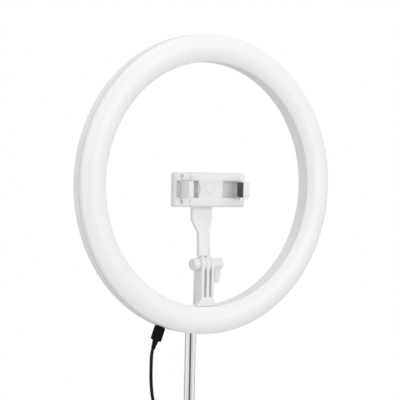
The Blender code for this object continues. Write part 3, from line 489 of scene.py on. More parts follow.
def make_diffuser():
    """Frosted channel with a soft dome, turned edges and an even wall."""
    centre, radius = DOME_ARC
    wall, outer_r, inner_r, foot = 1.5, RING_R - 0.3, RING_R_IN + 0.3, SEAM - OUTER_LIP
    high = degrees(acos((outer_r - 0.25 - centre[0]) / radius))
    low = degrees(acos((inner_r + 0.4 - centre[0]) / radius))
    dome = arc(centre, radius, low, high, 40)
    inside_high = degrees(acos((outer_r - wall - centre[0]) / (radius - wall)))
    inside_low = 180 - degrees(asin((SEAM - centre[1]) / (radius - wall)))
    profile = [(inner_r, SEAM), (inner_r, dome[0][1] - 0.35)] + dome
    profile += [(outer_r, dome[-1][1] - 0.4), (outer_r, foot + 0.2), (outer_r - 0.2, foot)]
    profile += [(outer_r - wall, foot)]
    profile += arc(centre, radius - wall, inside_high, inside_low, 16)
    piece = lathe("diffuser", profile, axis="FRONT", steps=216)
    publish(soften(piece, sharp=50.0), "diffuser")


def housing_profile():
    """Rear channel: rounded back corners and two shallow rings pressed into the back."""
    back, corner, wall = -RING_DEPTH, 3.2, 1.8
    top = -SEAM - OUTER_LIP
    profile = [(RING_R - 0.25, top), (RING_R, top - 0.25)]
    profile += arc((RING_R - corner, back + corner), corner, 0, -90, 9)
    for r in (RING_R - 6.0, RING_R_IN + 6.5):
        profile += [(r + 0.5, back), (r + 0.25, back + 0.35), (r - 0.25, back + 0.35),
                    (r - 0.5, back)]
    profile += arc((RING_R_IN + corner, back + corner), corner, -90, -180, 9)
    profile += [(RING_R_IN, -3.3), (RING_R_IN + 0.22, -3.15), (RING_R_IN + 0.22, -2.75),
                (RING_R_IN, -2.6), (RING_R_IN, -SEAM - 0.25), (RING_R_IN + 0.25, -SEAM),
                (RING_R_IN + wall, -SEAM), (RING_R_IN + wall, back + 3.6),
                (RING_R_IN + 3.4, back + wall), (RING_R - 3.4, back + wall),
                (RING_R - wall, back + 3.6), (RING_R - wall, top)]
    return profile


def make_housing():
    """Housing with its screw holes, flared button holes and socket opening."""
    piece = lathe("rear_housing", housing_profile(), axis="FRONT", steps=192)
    tools = [drill(1.7, 12.0, 18.0, axis="Y", at=mid_ring(a)) for a in SCREW_ANGLES]
    flare = [(0, 12.0), (4.3, 12.0), (4.3, 15.3), (5.2, 16.2), (5.2, 18.0), (0, 18.0)]
    tools += [lathe("flare", flare, mid_ring(a), "Y", 32) for a in BUTTON_ANGLES]
    tools.append(prism("opening", rounded(2.0, 4.9, 0.9), RING_R - 5.0, RING_R + 3.0, "X",
                       SOCKET_FRAME))
    boolean(piece, tools)
    publish(soften(piece, sharp=28.0), "rear_housing")


def cross_screw(node, profile, at, size):
    """A pan-head screw with a cross recess. The profile runs from the head to the tip."""
    top = profile[0][1] - 0.1
    piece = lathe("screw", profile, at, "Y", 40)
    boolean(piece, [block((-size, top - 1.0, -0.28 * size), (size, top + 1.0, 0.28 * size),
                          at @ Matrix.Rotation(radians(turn), 4, "Y")) for turn in (20.0, 110.0)])
    publish(soften(piece, 0.12), node)


def make_back_details():
    """Screws, buttons with raised signs, socket and boards."""
    for number, angle in enumerate(SCREW_ANGLES, 1):
        profile = [(0.0, 17.7), (1.2, 17.64), (2.1, 17.42), (2.65, 17.0), (2.8, 16.6), (2.8, 16.3),
                   (1.4, 16.3), (1.4, 6.5), (0.0, 5.6)]
        cross_screw(f"housing_screw_{number}", profile, mid_ring(angle), 1.5)
    signs = {"mode_button": [(0.0, 0.0)], "brighter_button": [(1.5, 0.3), (0.3, 1.5)],
             "dimmer_button": [(1.5, 0.3)]}
    for (node, bars), angle in zip(signs.items(), BUTTON_ANGLES):
        at = mid_ring(angle)
        profile = [(0.0, 17.15), (2.0, 17.2), (3.2, 17.45), (3.7, 17.4), (4.0, 17.0), (4.0, 13.8),
                   (4.9, 13.8), (4.9, 12.9), (1.6, 12.9), (1.6, 10.2), (0.0, 10.2)]
        piece = lathe(node, profile, at, "Y", 48)
        raised = []
        for half_x, half_z in bars:
            if half_x:
                raised.append(block((-half_x, 16.6, -half_z), (half_x, 17.45, half_z), at))
            else:
                ring = [(1.5, 17.45), (1.5, 16.6), (0.95, 16.6), (0.95, 17.45)]
                raised.append(lathe("sign", ring, at, "Y", 40))
        boolean(piece, raised, "UNION")
        publish(soften(piece, 0.08, 1), node, "button")
    refine("usb_socket", 0.25)
    refine("led_board", 0.2, 1)
    refine("driver_board", 0.2, 1)


def make_bracket():
    """Mounting plate with ribs and the tilt tongue."""
    plate = prism("ring_bracket", rounded(13.0, 11.25, 2.6), 16.3, 19.4,
                  at=ring_at(0, 0, -135.75))
    tongue = [(18.8, TILT_Z - 5.6)] + arc((TILT_Y, TILT_Z), 6.5, -90, 90, 21)
    tongue += [(18.8, TILT_Z + 5.6)]
    parts = [prism("tongue", tongue, -3.9, 3.9, "X")]
    for z in (-143.0, -128.2):
        rib = [(18.8, z - 0.9), (18.8, z + 0.9), (19.8, z + 0.6), (19.8, z - 0.6)]
        parts.append(prism("rib", rib, -9.5, 9.5, "X"))
    boolean(plate, parts, "UNION")
    boolean(plate, [drill(BOLT_BORE, -6.0, 6.0, (0, TILT_Y, TILT_Z))])
    publish(soften(plate, 0.5), "ring_bracket")


HINGE_Y, HINGE_Z, KNUCKLE_R = 10.4, -80.3, 7.5


def make_post():
    """Square post with a three-finger hinge top, flared at the front of its foot."""
    half, foot, rest = 7.5, 13.0, RING_R_IN - 0.3
    low, high = HINGE_Y - KNUCKLE_R, HINGE_Y + KNUCKLE_R
    base_z = -sqrt(rest ** 2 - half ** 2)
    post = prism("holder_post", [(half, HINGE_Z + 8.0), (half, base_z), (-half, base_z),
                                 (-half, HINGE_Z + 8.0)], low - 1.0, high)
    flare = arc((half + 10.0, -112.2), 10.0, 180, 230, 12)
    edge = degrees(asin(foot / rest))
    base = [(half - 2.0, -108.0)] + flare + arc((0, 0), rest, -90 + edge, -90 - edge, 9)
    base += [(-x, z) for x, z in reversed(flare)] + [(2.0 - half, -108.0)]
    boolean(post, [prism("base", base, low - 1.0, low + 6.5)], "UNION")
    side = arc((HINGE_Y, HINGE_Z), KNUCKLE_R, 0, 180, 33) + [(low, -124.0), (high, -124.0)]
    boolean(post, [prism("side", side, -16.0, 16.0, "X")], "INTERSECT")
    tools = [drill(BOLT_BORE, -9.0, 9.0, (0, HINGE_Y, HINGE_Z))]
    for x in (-4.5, 1.5):
        slot = [(low - 2, HINGE_Z + 9), (low - 2, -113.0), (high - 3.5, -113.0),
                (high - 3.5, HINGE_Z - 8.2), (high + 2, HINGE_Z - 8.2), (high + 2, HINGE_Z + 9)]
        tools.append(prism("slot", slot, x, x + 3.0, "X"))
    boolean(post, tools)
    publish(soften(post, 0.5, 3), "holder_post", "holder")


def plug_rings(stages, share):
    """Sections along +X from (place, half size along Y, half size along Z), with corners that
    take a share of the smaller half."""
    return [[(place, y, z) for y, z in rounded(half_y, half_z, share * min(half_y, half_z))]
            for place, half_y, half_z in stages]


def make_ring_plug():
    """Moulded plug with a stepped neck and a ribbed strain relief."""
    stages = [(150.3, 2.8, 4.7), (150.7, 3.3, 5.3), (151.4, 3.5, 5.6), (163.4, 3.5, 5.6),
              (164.0, 3.3, 5.35), (164.4, 3.0, 4.9), (164.7, 2.7, 3.3), (165.0, 2.6, 2.9)]
    for k in range(3):
        start, size = 165.3 + 1.25 * k, 2.75 - 0.1 * k
        stages += [(start, size, size), (start + 0.55, size, size),
                   (start + 0.7, size - 0.35, size - 0.35), (start + 1.1, size - 0.35, size - 0.35)]
    stages += [(169.2, 2.1, 2.1), (172.9, 1.95, 1.95)]
    at = SOCKET_FRAME
    plug = loft("ring_plug", plug_rings(stages, 0.75), at)
    boolean(plug, [prism("tip", rounded(0.8, 3.6, 0.5), 144.0, 151.0, "X", at)], "UNION")
    grips = [block((x, side * 3.5 - 0.3, -3.6), (x + 0.8, side * 3.5 + 0.3, 3.6), at)
             for x in (154.0 + 1.6 * k for k in range(5)) for side in (-1, 1)]
    boolean(plug, grips)
    return publish(soften(plug, 0.12), "ring_plug", "plug")


# ---------------------------------------- phone holder
CLAMP_Z = (-22.9, 11.9)
CLAMP_X = (-39.5, 46.8)
CLAMP_SEAM_X = -21.2
ROD_Y, ROD_Z = 11.45, (7.8, -17.8)
POCKET_Z = (-13.6, 3.6)
LEFT_POCKET, RIGHT_POCKET = (-36.8, -10.8), (18.4, 41.8)
POCKET_FLOOR = 14.2
OPEN_Y = 3.0     # clear of the clamp's face
SWIVEL_Z = -5.0
JAW_AXIS_Y, JAW_Z = 8.0, (-13.0, 3.0)
JAWS = {"left": (-31.6, 1.0, 4.0), "right": (39.1, -1.0, 5.8)}   # axis, inward sign, lip
ARM_R, ARM_FRONT = 12.0, 15.4


def clamp_ring(low_x, high_x, inset, round_left, y):
    """A clamp outline with its free corners rounded, drawn in by inset all but at the seam."""
    free, seam = 2.6 - 0.4 * inset, 0.3
    left, right = (free, seam) if round_left else (seam, free)
    low_x, high_x = (low_x + inset, high_x) if round_left else (low_x, high_x - inset)
    low_z, high_z = CLAMP_Z[0] + inset, CLAMP_Z[1] - inset
    points = arc((high_x - right, high_z - right), right, 0, 90, 6)
    points += arc((low_x + left, high_z - left), left, 90, 180, 6)
    points += arc((low_x + left, low_z + left), left, 180, 270, 6)
    points += arc((high_x - right, low_z + right), right, 270, 360, 6)
    return [(x, y, z) for x, z in points]


def clamp_slab(name, low_x, high_x, round_left, stations):
    """A clamp shell through (place, inset) stations from one face to the other."""
    rings = [clamp_ring(low_x, high_x, inset, round_left, y) for y, inset in stations]
    return loft(name, rings)


FRONT_STATIONS = [(8.8, 0.0), (8.65, 0.08), (7.1, 1.6), (7.0, 1.76)]
BACK_STATIONS = [(14.0, 0.0), (14.6, 0.3), (14.9, 0.8), (15.0, 1.3)]


def rod_tools():
    """Channels for the two guide rods, with the spring's room around the lower one."""
    upper = drill(1.9, -24.0, 13.0, (0, ROD_Y, ROD_Z[0]), steps=20)
    lower = [(0, -24.0), (1.9, -24.0), (1.9, -18.9), (3.1, -18.9), (3.1, 13.0), (0, 13.0)]
    return [upper, lathe("channel", lower, ring_at(0, ROD_Y, ROD_Z[1]), "X", 20)]


def pocket_tools():
    """Room for both jaws: square at the left, a scooped floor at the right."""
    low_z, high_z = POCKET_Z
    left = block((-26.5, OPEN_Y, low_z), (LEFT_POCKET[1], POCKET_FLOOR, high_z))
    (low_x, high_x), bend = RIGHT_POCKET, 3.5
    scoop = [(low_x, OPEN_Y)] + arc((low_x + bend, POCKET_FLOOR - bend), bend, 180, 90, 14)
    scoop += [(high_x, POCKET_FLOOR), (high_x, OPEN_Y)]
    return [left, prism("scoop", scoop, low_z, high_z, "Z")]


def stub_bore(x):
    """Bearing for a jaw's stub pin."""
    return drill(1.2, JAW_Z[0] - 2.2, JAW_Z[1] + 2.2, (x, JAW_AXIS_Y, 0), "Z", steps=20)


def make_clamp():
    """Front and back shells, then the sliding end and what runs inside."""
    low_x = CLAMP_SEAM_X + 0.3
    front = clamp_slab("clamp_front", low_x, CLAMP_X[1], False,
                       [(ROD_Y - 0.05, 0.0)] + FRONT_STATIONS)
    thumb = drill(7.3, 3.0, 8.5, (-16.1, 0, SWIVEL_Z), "Y", steps=56)
    disc = [(6.0, 6.0), (6.0, 7.18), (5.45, 7.18), (5.45, 6.0)]
    groove = lathe("groove", disc, ring_at(3.6, 0, SWIVEL_Z), "Y", 56)
    boolean(front, pocket_tools() + rod_tools() + [stub_bore(JAWS["right"][0]), thumb, groove])
    publish(soften(front, 0.22, limit=38.0), "clamp_front", "holder")
    back = clamp_slab("clamp_back", low_x, CLAMP_X[1], False,
                      [(ROD_Y + 0.05, 0.0)] + BACK_STATIONS)
    seat = drill(2.3, 10.0, 16.0, (0, 0, SWIVEL_Z), "Y")
    ribs = [block((x, 14.75, -19.0), (x + 1.0, 16.0, 9.0)) for x in (-16.0, -13.0, 24.0, 27.0)]
    boolean(back, pocket_tools() + rod_tools() + [seat] + ribs)
    publish(soften(back, 0.2, limit=38.0), "clamp_back", "holder")
    make_slide_end()
    make_rods()


def make_slide_end():
    """Sliding end with its pocket, two windows over the rods, and grip lines on its end."""
    end = clamp_slab("clamp_slide_end", CLAMP_X[0], CLAMP_SEAM_X - 0.3, True,
                     list(reversed(BACK_STATIONS)) + FRONT_STATIONS)
    (low_x, high_x), (low_z, high_z) = LEFT_POCKET, POCKET_Z
    tools = [block((low_x, OPEN_Y, low_z), (high_x, POCKET_FLOOR, high_z)),
             stub_bore(JAWS["left"][0])]
    for z in ROD_Z:
        tools.append(drill(1.8, -37.6, -20.0, (0, ROD_Y, z), steps=20))
        tools.append(block((-33.3, OPEN_Y, z - 1.9), (-29.6, 9.4, z + 1.9)))
        tools.append(block((-36.4, 6.0, z - 0.25), (-34.7, 7.5, z + 0.25)))
    tools += [block((-40.5, 9.0, z), (-39.1, 13.4, z + 0.8)) for z in (-9.0, -6.6, -4.2, -1.8)]
    tools += [block((-38.1, 6.0, z), (-36.6, 8.6, z + 1.5))
              for z in (-12.6, -9.2, -5.8, -2.4, 1.0)]
    boolean(end, tools)
    publish(soften(end, 0.22, limit=38.0), "clamp_slide_end", "holder")


def make_rods():
    """Two guide rods, the lower one with a head for the closing spring, and the spring."""
    upper = [(0.0, 9.0), (1.1, 9.0), (1.5, 8.5), (1.5, -36.8), (1.1, -37.2), (0.0, -37.2)]
    lower = [(0.0, 11.0), (2.6, 11.0), (2.8, 10.8), (2.8, 9.6), (2.6, 9.4), (1.5, 9.4),
             (1.5, -36.8), (1.1, -37.2), (0.0, -37.2)]
    for node, profile, z in (("guide_rod_upper", upper, ROD_Z[0]),
                             ("guide_rod_lower", lower, ROD_Z[1])):
        publish(soften(lathe(node, profile, ring_at(0, ROD_Y, z), "X", 32)), node)
    turns, per_turn, start, end, radius = 9, 20, -18.2, 8.7, 2.35
    path = []
    for i in range(turns * per_turn + 1):
        a = tau * i / per_turn
        path.append((start + (end - start) * i / (turns * per_turn),
                     ROD_Y + radius * cos(a), ROD_Z[1] + radius * sin(a)))
    spring = tube("clamp_spring", path, 0.35, RING_FRAME, 8)
    spring.data.shade_smooth()
    publish(spring, "clamp_spring", ride=False)
    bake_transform(spring)


def make_jaw(side):
    """Folding jaw with its knuckles, a curled lip, and a ribbed rubber pad."""
    axis_x, inward, lip = JAWS[side]
    at = ring_at(axis_x, JAW_AXIS_Y, 0.5 * sum(JAW_Z))
    tip, half = -16.9, 8.0
    shape = arc((-0.6, tip + 1.0), 1.0, 180, 270, 6) + arc((lip - 0.8, tip + 0.8), 0.8, 270, 360, 6)
    shape += arc((lip - 0.8, tip + 0.8), 0.8, 0, 60, 4)[1:]
    shape += arc((2.9, tip + 4.3), 1.7, 270, 180, 7) + [(1.2, 0.0)]
    shape += arc((0, 0), 1.6, 40, 180, 15)
    jaw = prism(f"{side}_jaw", [(inward * x, y) for x, y in shape], -half, half, "Z", at)
    stub = drill(0.9, -half - 1.8, half + 1.8, axis="Z", at=at, steps=20)
    boolean(jaw, [stub], "UNION")
    outer = sorted((inward * -2.2, inward * -0.7))
    notches = [block((outer[0], -2.2, z), (outer[1], 2.2, z + 1.1), at)
               for z in (-5.6, -2.4, 1.3, 4.5)]
    boolean(jaw, notches)
    publish(soften(jaw, 0.3), f"{side}_jaw", "holder")
    near, far = sorted((inward * 1.5, inward * 2.9))
    low_y, high_y = tip + 4.6, -1.2
    mid = 0.5 * (low_y + high_y)
    outline = [(y + mid, z) for y, z in rounded(0.5 * (high_y - low_y), half - 0.5, 2.2)]
    pad = prism(f"{side}_jaw_pad", outline, near, far, "X", at)
    face = sorted((inward * 2.6, inward * 3.4))
    ribs = [block((face[0], low_y - 1.0, z), (face[1], high_y + 1.0, z + 0.55), at)
            for z in (-5.4, -3.6, -1.8, 0.0, 1.8, 3.6, 5.4)]
    boolean(pad, ribs)
    publish(soften(pad, 0.25), f"{side}_jaw_pad")


def arm_section(z, half, front):
    """A rounded section of the paddle."""
    return [(x, front + 2.35 + y, z) for x, y in rounded(half, 2.35, 0.8, 4)]


def make_arm():
    """Two-finger paddle that carries the clamp."""
    stations = [(HINGE_Z + 8.1, 7.0, 10.0), (-60.0, 7.0, 10.35), (-49.6, 7.0, 10.7),
                (-48.0, 7.12, 11.3), (-46.5, 7.5, 11.9), (-42.2, 9.25, 13.3), (-38.0, 11.0, 14.7),
                (-36.2, 11.7, 15.25), (-34.0, ARM_R, ARM_FRONT), (-20.0, ARM_R, ARM_FRONT),
                (SWIVEL_Z, ARM_R, ARM_FRONT)]
    stations += [(SWIVEL_Z + ARM_R * sin(a), ARM_R * cos(a), ARM_FRONT)
                 for a in (radians(d) for d in (12, 24, 36, 48, 58, 67, 75, 80))]
    arm = loft("phone_arm", [arm_section(*s) for s in stations])
    tongue = arc((HINGE_Y, HINGE_Z), 7.2, 110, 417, 40)
    tongue = [p for p in tongue if not (p[1] > HINGE_Z and p[0] > HINGE_Y + 4.3)]
    tongue += [(HINGE_Y + 4.3, HINGE_Z + 9.0), (HINGE_Y - 2.4, HINGE_Z + 9.0)]
    boolean(arm, [prism("tongue", tongue, x, x + 2.6, "X") for x in (-4.3, 1.7)], "UNION")
    boolean(arm, [drill(BOLT_BORE, -7.0, 7.0, (0, HINGE_Y, HINGE_Z)),
                  drill(2.3, 12.0, 24.0, (0, 0, SWIVEL_Z), "Y")])
    publish(soften(arm, 0.25), "phone_arm", "holder")
    screw = [(0.0, 22.7), (2.2, 22.6), (3.6, 22.3), (4.4, 21.7), (4.6, 21.1), (4.6, 20.4),
             (2.0, 20.4), (2.0, 12.2), (0.0, 12.2)]
    cross_screw("swivel_screw", screw, ring_at(0, 0, SWIVEL_Z), 2.2)


def make_hinge_hardware():
    """Bolt, round nut cap with a recessed end, and the knob with its hanging lever."""
    at = ring_at(0, HINGE_Y, HINGE_Z)
    bolt = [(0.0, -11.8), (2.1, -11.8), (2.4, -11.4), (2.4, 9.4), (2.1, 9.8), (0.0, 9.8)]
    publish(soften(lathe("bolt", bolt, at, "X", 40)), "hinge_bolt")
    cap = [(0.0, -12.2), (2.7, -12.2), (2.7, -7.8), (5.9, -7.8), (6.15, -8.1), (6.15, -14.0),
           (5.95, -14.6), (5.5, -15.0), (4.9, -15.0), (4.75, -14.85), (4.75, -14.1),
           (4.6, -13.95), (1.2, -13.95), (0.9, -14.2), (0.0, -14.2)]
    publish(soften(lathe("cap", cap, at, "X", 64)), "hinge_nut_cap", "holder")
    knob = [(0.0, 20.4), (4.3, 20.4), (5.0, 20.2), (5.45, 19.8), (5.6, 19.3), (5.6, 8.1),
            (5.3, 7.8), (2.7, 7.8), (2.7, 10.4), (0.0, 10.4)]
    piece = lathe("knob", knob, at, "X", 64)
    lever = [(11.9, -3.5), (19.4, -3.5), (17.9, -17.0)] + arc((16.5, -17.4), 1.4, -10, -90, 5)
    lever += arc((13.3, -17.4), 1.4, -90, -180, 5)
    lever = prism("lever", lever, -2.2, 2.2, "Y", at)
    soften(lever, 0.7, 3)
    boolean(piece, [lever], "UNION")
    publish(soften(piece, 0.3, limit=40.0), "hinge_knob", "holder")


# ---------------------------------------- stand
TUBE_R, COLUMN_R = 5.85, 8.0
TUBE_LOW, TUBE_HIGH = 85.0, 492.5
COLUMN_LOW, COLUMN_HIGH = 62.0, 340.0
COLLAR_LOW, COLLAR_HIGH, LOCK_Z = 324.0, 366.0, 353.0
TILT_HEIGHT = 506.0
DIMPLE_HEIGHTS = (490.0, 484.0)


def lobed(radius, lobes=6, count=96):
    """A circle pressed in between its lobes."""
    points = []
    for i in range(count):
        a = tau * i / count
        r = radius - 0.09 * radius * (1 - cos(lobes * a))
        points.append((r * cos(a), r * sin(a)))
    return points


def make_knob(node, at, axis, start, length, radius, bore, shaft=None):
    """A hand knob with scalloped sides, a dished face and rounded edges. Its shaft, if any, is
    (radius, low, high)."""
    knob = prism(node, lobed(radius), start, start + length, axis, at)
    dish = [(0.0, start + length - 1.0), (0.5 * radius, start + length - 0.9),
            (0.62 * radius, start + length + 0.4), (0.0, start + length + 0.4)]
    tools = [drill(bore, start - 1.0, start + 3.2, axis=axis, at=at),
             lathe("dish", dish, at, axis, 48)]
    boolean(knob, tools)
    if shaft:
        boolean(knob, [drill(*shaft, axis=axis, at=at)], "UNION")
    publish(soften(knob, 0.7, 3), node)


def turned_tube(node, radius, wall, low, high, dimples=()):
    """A drawn tube with eased lips, and dimples at the given heights on its left."""
    e, inner = 0.25, radius - wall
    profile = [(radius - e, high), (radius, high - e), (radius, low + e), (radius - e, low),
               (inner + e, low), (inner, low + e), (inner, high - e), (inner + e, high)]
    piece = lathe(node, profile, COLUMN_FRAME, "Z", 96)
    if dimples:
        side = Vector((-0.97, 0.12, 0.0)).normalized() * (radius + 0.35)
        ball = arc((0, 0), 0.95, 90, -90, 9)
        boolean(piece, [lathe("dimple", ball, column_at(side.x, side.y, z), "Z", 16)
                        for z in dimples])
    publish(soften(piece), node)


def make_mast():
    """Sliding tube with its bushing, cable clip, and the tilt fork, bolt and knob."""
    turned_tube("mast_tube", TUBE_R, 1.0, TUBE_LOW, TUBE_HIGH, DIMPLE_HEIGHTS)
    refine("mast_bushing", 0.3)
    refine("tilt_fork", 0.45, 3)
    at = column_at(0, 0, TILT_HEIGHT)
    bolt = [(0.0, 9.6), (2.1, 9.6), (2.4, 9.3), (2.4, -7.7), (4.2, -7.7), (4.4, -7.9),
            (4.4, -9.2), (3.7, -10.0), (2.6, -10.1), (2.2, -9.6), (0.0, -9.6)]
    publish(soften(lathe("bolt", bolt, at, "X", 40)), "tilt_bolt")
    make_knob("tilt_knob", at, "X", 7.7, 11.5, 8.2, BOLT_BORE)
    refine("mast_clip", 0.5, 3)


def make_column():
    """Outer tube, its end plug, and the collar with its cable hook and lock knob."""
    turned_tube("column_tube", COLUMN_R, 1.2, COLUMN_LOW, COLUMN_HIGH)
    refine("column_plug", 0.5)
    low, high, wide, narrow = COLLAR_LOW, COLLAR_HIGH, COLUMN_R + 0.25, TUBE_R + 0.25
    profile = [(narrow, high), (11.0, high)] + arc((11.4, high - 1.6), 1.6, 80, 0, 6)
    profile += [(13.0, high - 8.0), (12.5, high - 8.6), (12.5, high - 9.6), (13.0, high - 10.2),
                (13.0, low + 9.0), (12.5, low + 8.4), (12.5, low + 7.4), (13.0, low + 6.8),
                (13.0, low + 2.0), (11.8, low), (wide, low), (wide, COLUMN_HIGH + 0.3),
                (narrow, COLUMN_HIGH + 0.3)]
    collar = lathe("collar", profile, COLUMN_FRAME, "Z", 96)
    hook, lock = column_at(-15.3, 0, 0), column_at(0, 0, LOCK_Z)
    boolean(collar, [prism("hook", rounded(3.3, 3.4, 0.9), low + 2.0, low + 12.0, "Z", hook)],
            "UNION")
    boolean(collar, [drill(2.8, 4.0, 16.0, axis="Y", at=lock)])
    publish(soften(collar, 0.4), "collar")
    make_knob("lock_knob", lock, "Y", 14.0, 16.0, 10.5, 1.0, (2.5, TUBE_R + 0.5, 20.0))


HUB_R, HUB_LOW, HUB_HIGH = 33.0, 80.0, 125.0
LEG_ANGLES = (-90.0, 30.0, 150.0)
HINGE_R, FOOT_R, LEG_Z = 26.0, 265.0, 100.0
PIN_BORE = 2.2


def leg_frame(angle):
    """The column's frame with its +X along a leg."""
    return COLUMN_FRAME @ Matrix.Rotation(radians(angle), 4, "Z")


def make_hub():
    """Turned hub with a slot for each leg, grip windows between them, and the leg pins."""
    low, high = HUB_LOW, HUB_HIGH
    bore = COLUMN_R + 0.3
    profile = [(bore, high + 6.0), (11.3, high + 6.0), (12.4, high + 5.4), (13.0, high + 4.2),
               (14.2, high + 1.2), (16.5, high - 0.4), (HUB_R - 6.0, high - 3.0),
               (HUB_R - 2.4, high - 4.3), (HUB_R - 0.6, high - 6.2), (HUB_R, high - 8.6),
               (HUB_R, low + 4.0), (HUB_R - 1.0, low + 1.2), (HUB_R - 3.0, low), (bore, low)]
    hub = lathe("leg_hub", profile, COLUMN_FRAME, "Z", 96)
    tools = []
    for angle in LEG_ANGLES:
        at = leg_frame(angle)
        tools.append(block((HINGE_R - 8.6, -6.4, low - 5.0), (HUB_R + 10.0, 6.4, LEG_Z + 8.6), at))
        tools.append(drill(PIN_BORE, -22.0, 22.0, (HINGE_R, 0, LEG_Z), "Y", at, 24))
        for side in (-38.0, 38.0):
            tools.append(block((HUB_R - 0.7, -4.2, low + 8.0), (HUB_R + 4.0, 4.2, low + 30.0),
                               leg_frame(angle + side)))
    boolean(hub, tools)
    publish(soften(hub, 0.6, 3), "leg_hub")
    for number in (1, 2, 3):
        refine(f"leg_pin_{number}", 0.4)


def leg_ring(x, z, tilt, half_w, half_t):
    """A section across the leg at (x, z), tilted back by tilt degrees."""
    a = radians(tilt)
    return [(x + t * sin(a), y, z + t * cos(a))
            for y, t in rounded(half_w, half_t, 2.4, 5)]


def make_leg(number, angle):
    """Slim leg with a smooth turn down into its ribbed rubber foot."""
    reach, drop = FOOT_R - HINGE_R, LEG_Z - 12.3
    slope = atan2(drop - 8.0, reach - 8.0)
    run = [(-5.2, 4.6, 4.6), (-3.6, 5.6, 6.0), (0.0, 6.0, 6.8), (7.0, 6.0, 6.6), (16.0, 6.2, 6.0),
           (60.0, 6.0, 5.5), (0.55 * reach, 5.6, 4.6), (reach - 18.0, 5.2, 4.0),
           (reach - 13.0, 5.2, 4.1)]
    at = leg_frame(angle)
    rings = [leg_ring(HINGE_R + s * cos(slope), LEG_Z - s * sin(slope),
                      degrees(slope), w, t) for s, w, t in run]
    bend = [(reach - 7.6, -(drop - 10.3), 30.0), (reach - 5.0, -(drop - 8.2), 44.0),
            (reach - 2.6, -(drop - 6.1), 58.0), (reach - 0.9, -(drop - 3.9), 74.0),
            (reach, -(drop - 1.4), 90.0), (reach, -drop, 90.0)]
    rings += [leg_ring(HINGE_R + x, LEG_Z + z, tilt, 5.2, 4.5) for x, z, tilt in bend]
    leg = loft(f"leg_{number}", rings, at)
    boolean(leg, [drill(PIN_BORE, -9.0, 9.0, (HINGE_R, 0, LEG_Z), "Y", at, 24)])
    publish(soften(leg, 0.3, limit=40.0, sharp=40.0), f"leg_{number}")
    foot = [(0.0, 12.0), (6.6, 12.0), (7.6, 11.8), (8.2, 11.0)]
    for k in range(4):
        z, r = 9.6 - 2.0 * k, 8.35 + 0.28 * k
        foot += [(r, z), (r + 0.05, z - 0.9), (r - 0.35, z - 1.1), (r - 0.3, z - 1.7)]
    foot += [(9.6, 1.4), (9.2, 0.5), (8.5, 0.0), (6.6, 0.0), (6.2, 0.4), (0.0, 0.4)]
    piece = lathe(f"foot_{number}", foot, at @ Matrix.Translation((FOOT_R, 0, 0)), "Z", 56)
    publish(soften(piece), f"foot_{number}")


# ---------------------------------------- end of the lead
def make_usb_plug():
    """Flat plug with a ribbed neck and grip, and its folded metal shell."""
    x, y, z = TAIL_ROUTE[-1]
    at = column_at(x + 0.3, y, z)
    stages = []
    for k in range(4):
        s = 2.25 + 0.12 * k
        stages += [(1.6 * k, s, s), (1.6 * k + 0.8, s, s), (1.6 * k + 0.95, s - 0.3, s - 0.3),
                   (1.6 * k + 1.45, s - 0.3, s - 0.3)]
    stages += [(6.5, 3.2, 2.8), (7.1, 5.4, 3.5), (8.2, 6.5, 3.8), (9.4, 6.8, 3.9), (25.4, 6.8, 3.9),
               (26.6, 6.5, 3.6), (27.0, 6.1, 3.2)]
    plug = loft("usb_plug_body", plug_rings(stages, 0.62), at)
    boolean(plug, [block((x, -4.4, 3.6), (x + 0.9, 4.4, 5.0), at)
                   for x in (12.5 + 2.0 * k for k in range(5))])
    body = publish(soften(plug, 0.15), "usb_plug_body")
    shell = prism("usb_plug_shell", rounded(6.0, 2.25, 0.6), 27.3, 39.3, "X", at)
    boolean(shell, [block((29.3, -5.6, -0.2), (41.3, 5.6, 1.85), at)]
            + [block((32.3, y - 1.1, 1.5), (34.5, y + 1.1, 3.0), at) for y in (-3.0, 3.0)])
    metal = publish(soften(shell, 0.12), "usb_plug_shell")
    return [body, metal, refine("cord_tie", 0.35, 3)]


# ---------------------------------------- studio
AIM = RING - Vector((0, 0, 0.05))
# name, place from the aim and side in metres, watts, colour, and whether gloss shows it
LIGHTS = (("key", (0.55, -2.3, 0.55), 1.6, 17.0, (1, 1, 1), True),
          ("top", (-0.2, -0.4, 2.2), 1.8, 8.0, (1, 1, 1), True),
          ("side", (-2.3, -0.3, 0.2), 1.4, 8.5, (0.86, 0.95, 1.0), False))
AMBIENT = 0.70
# azimuth in degrees, width in metres and level of each card the chrome reflects
CARDS = ((-27.0, 0.86, 0.15), (12.0, 0.34, 0.58), (-143.0, 0.60, 0.40), (95.0, 0.50, 0.40))
CARD_DISTANCE, CARD_HEIGHT, CARD_MIDDLE = 1.2, 1.2, 0.45
FLOOR_R, FLOOR_STEPS = 2.4, 96


def area_light(name, offset, side, power, colour, glossy):
    """A square soft light that faces the lamp."""
    light = bpy.data.lights.new(name, "AREA")
    light.size, light.energy, light.color = side, power, colour
    obj = link(name, light)
    obj.matrix_world = (Matrix.Translation(AIM + Vector(offset))
                        @ (-Vector(offset)).to_track_quat("-Z", "Y").to_matrix().to_4x4())
    obj.visible_glossy = glossy


def emitter(name, strength):
    """A white glow."""
    mat = bpy.data.materials.new(name)
    mat.use_nodes = True
    tree = mat.node_tree
    tree.nodes.clear()
    glow = shader(tree, "Emission", Color=(1, 1, 1, 1), Strength=strength)
    tree.links.new(glow.outputs["Emission"], shader(tree, "OutputMaterial").inputs["Surface"])
    return mat


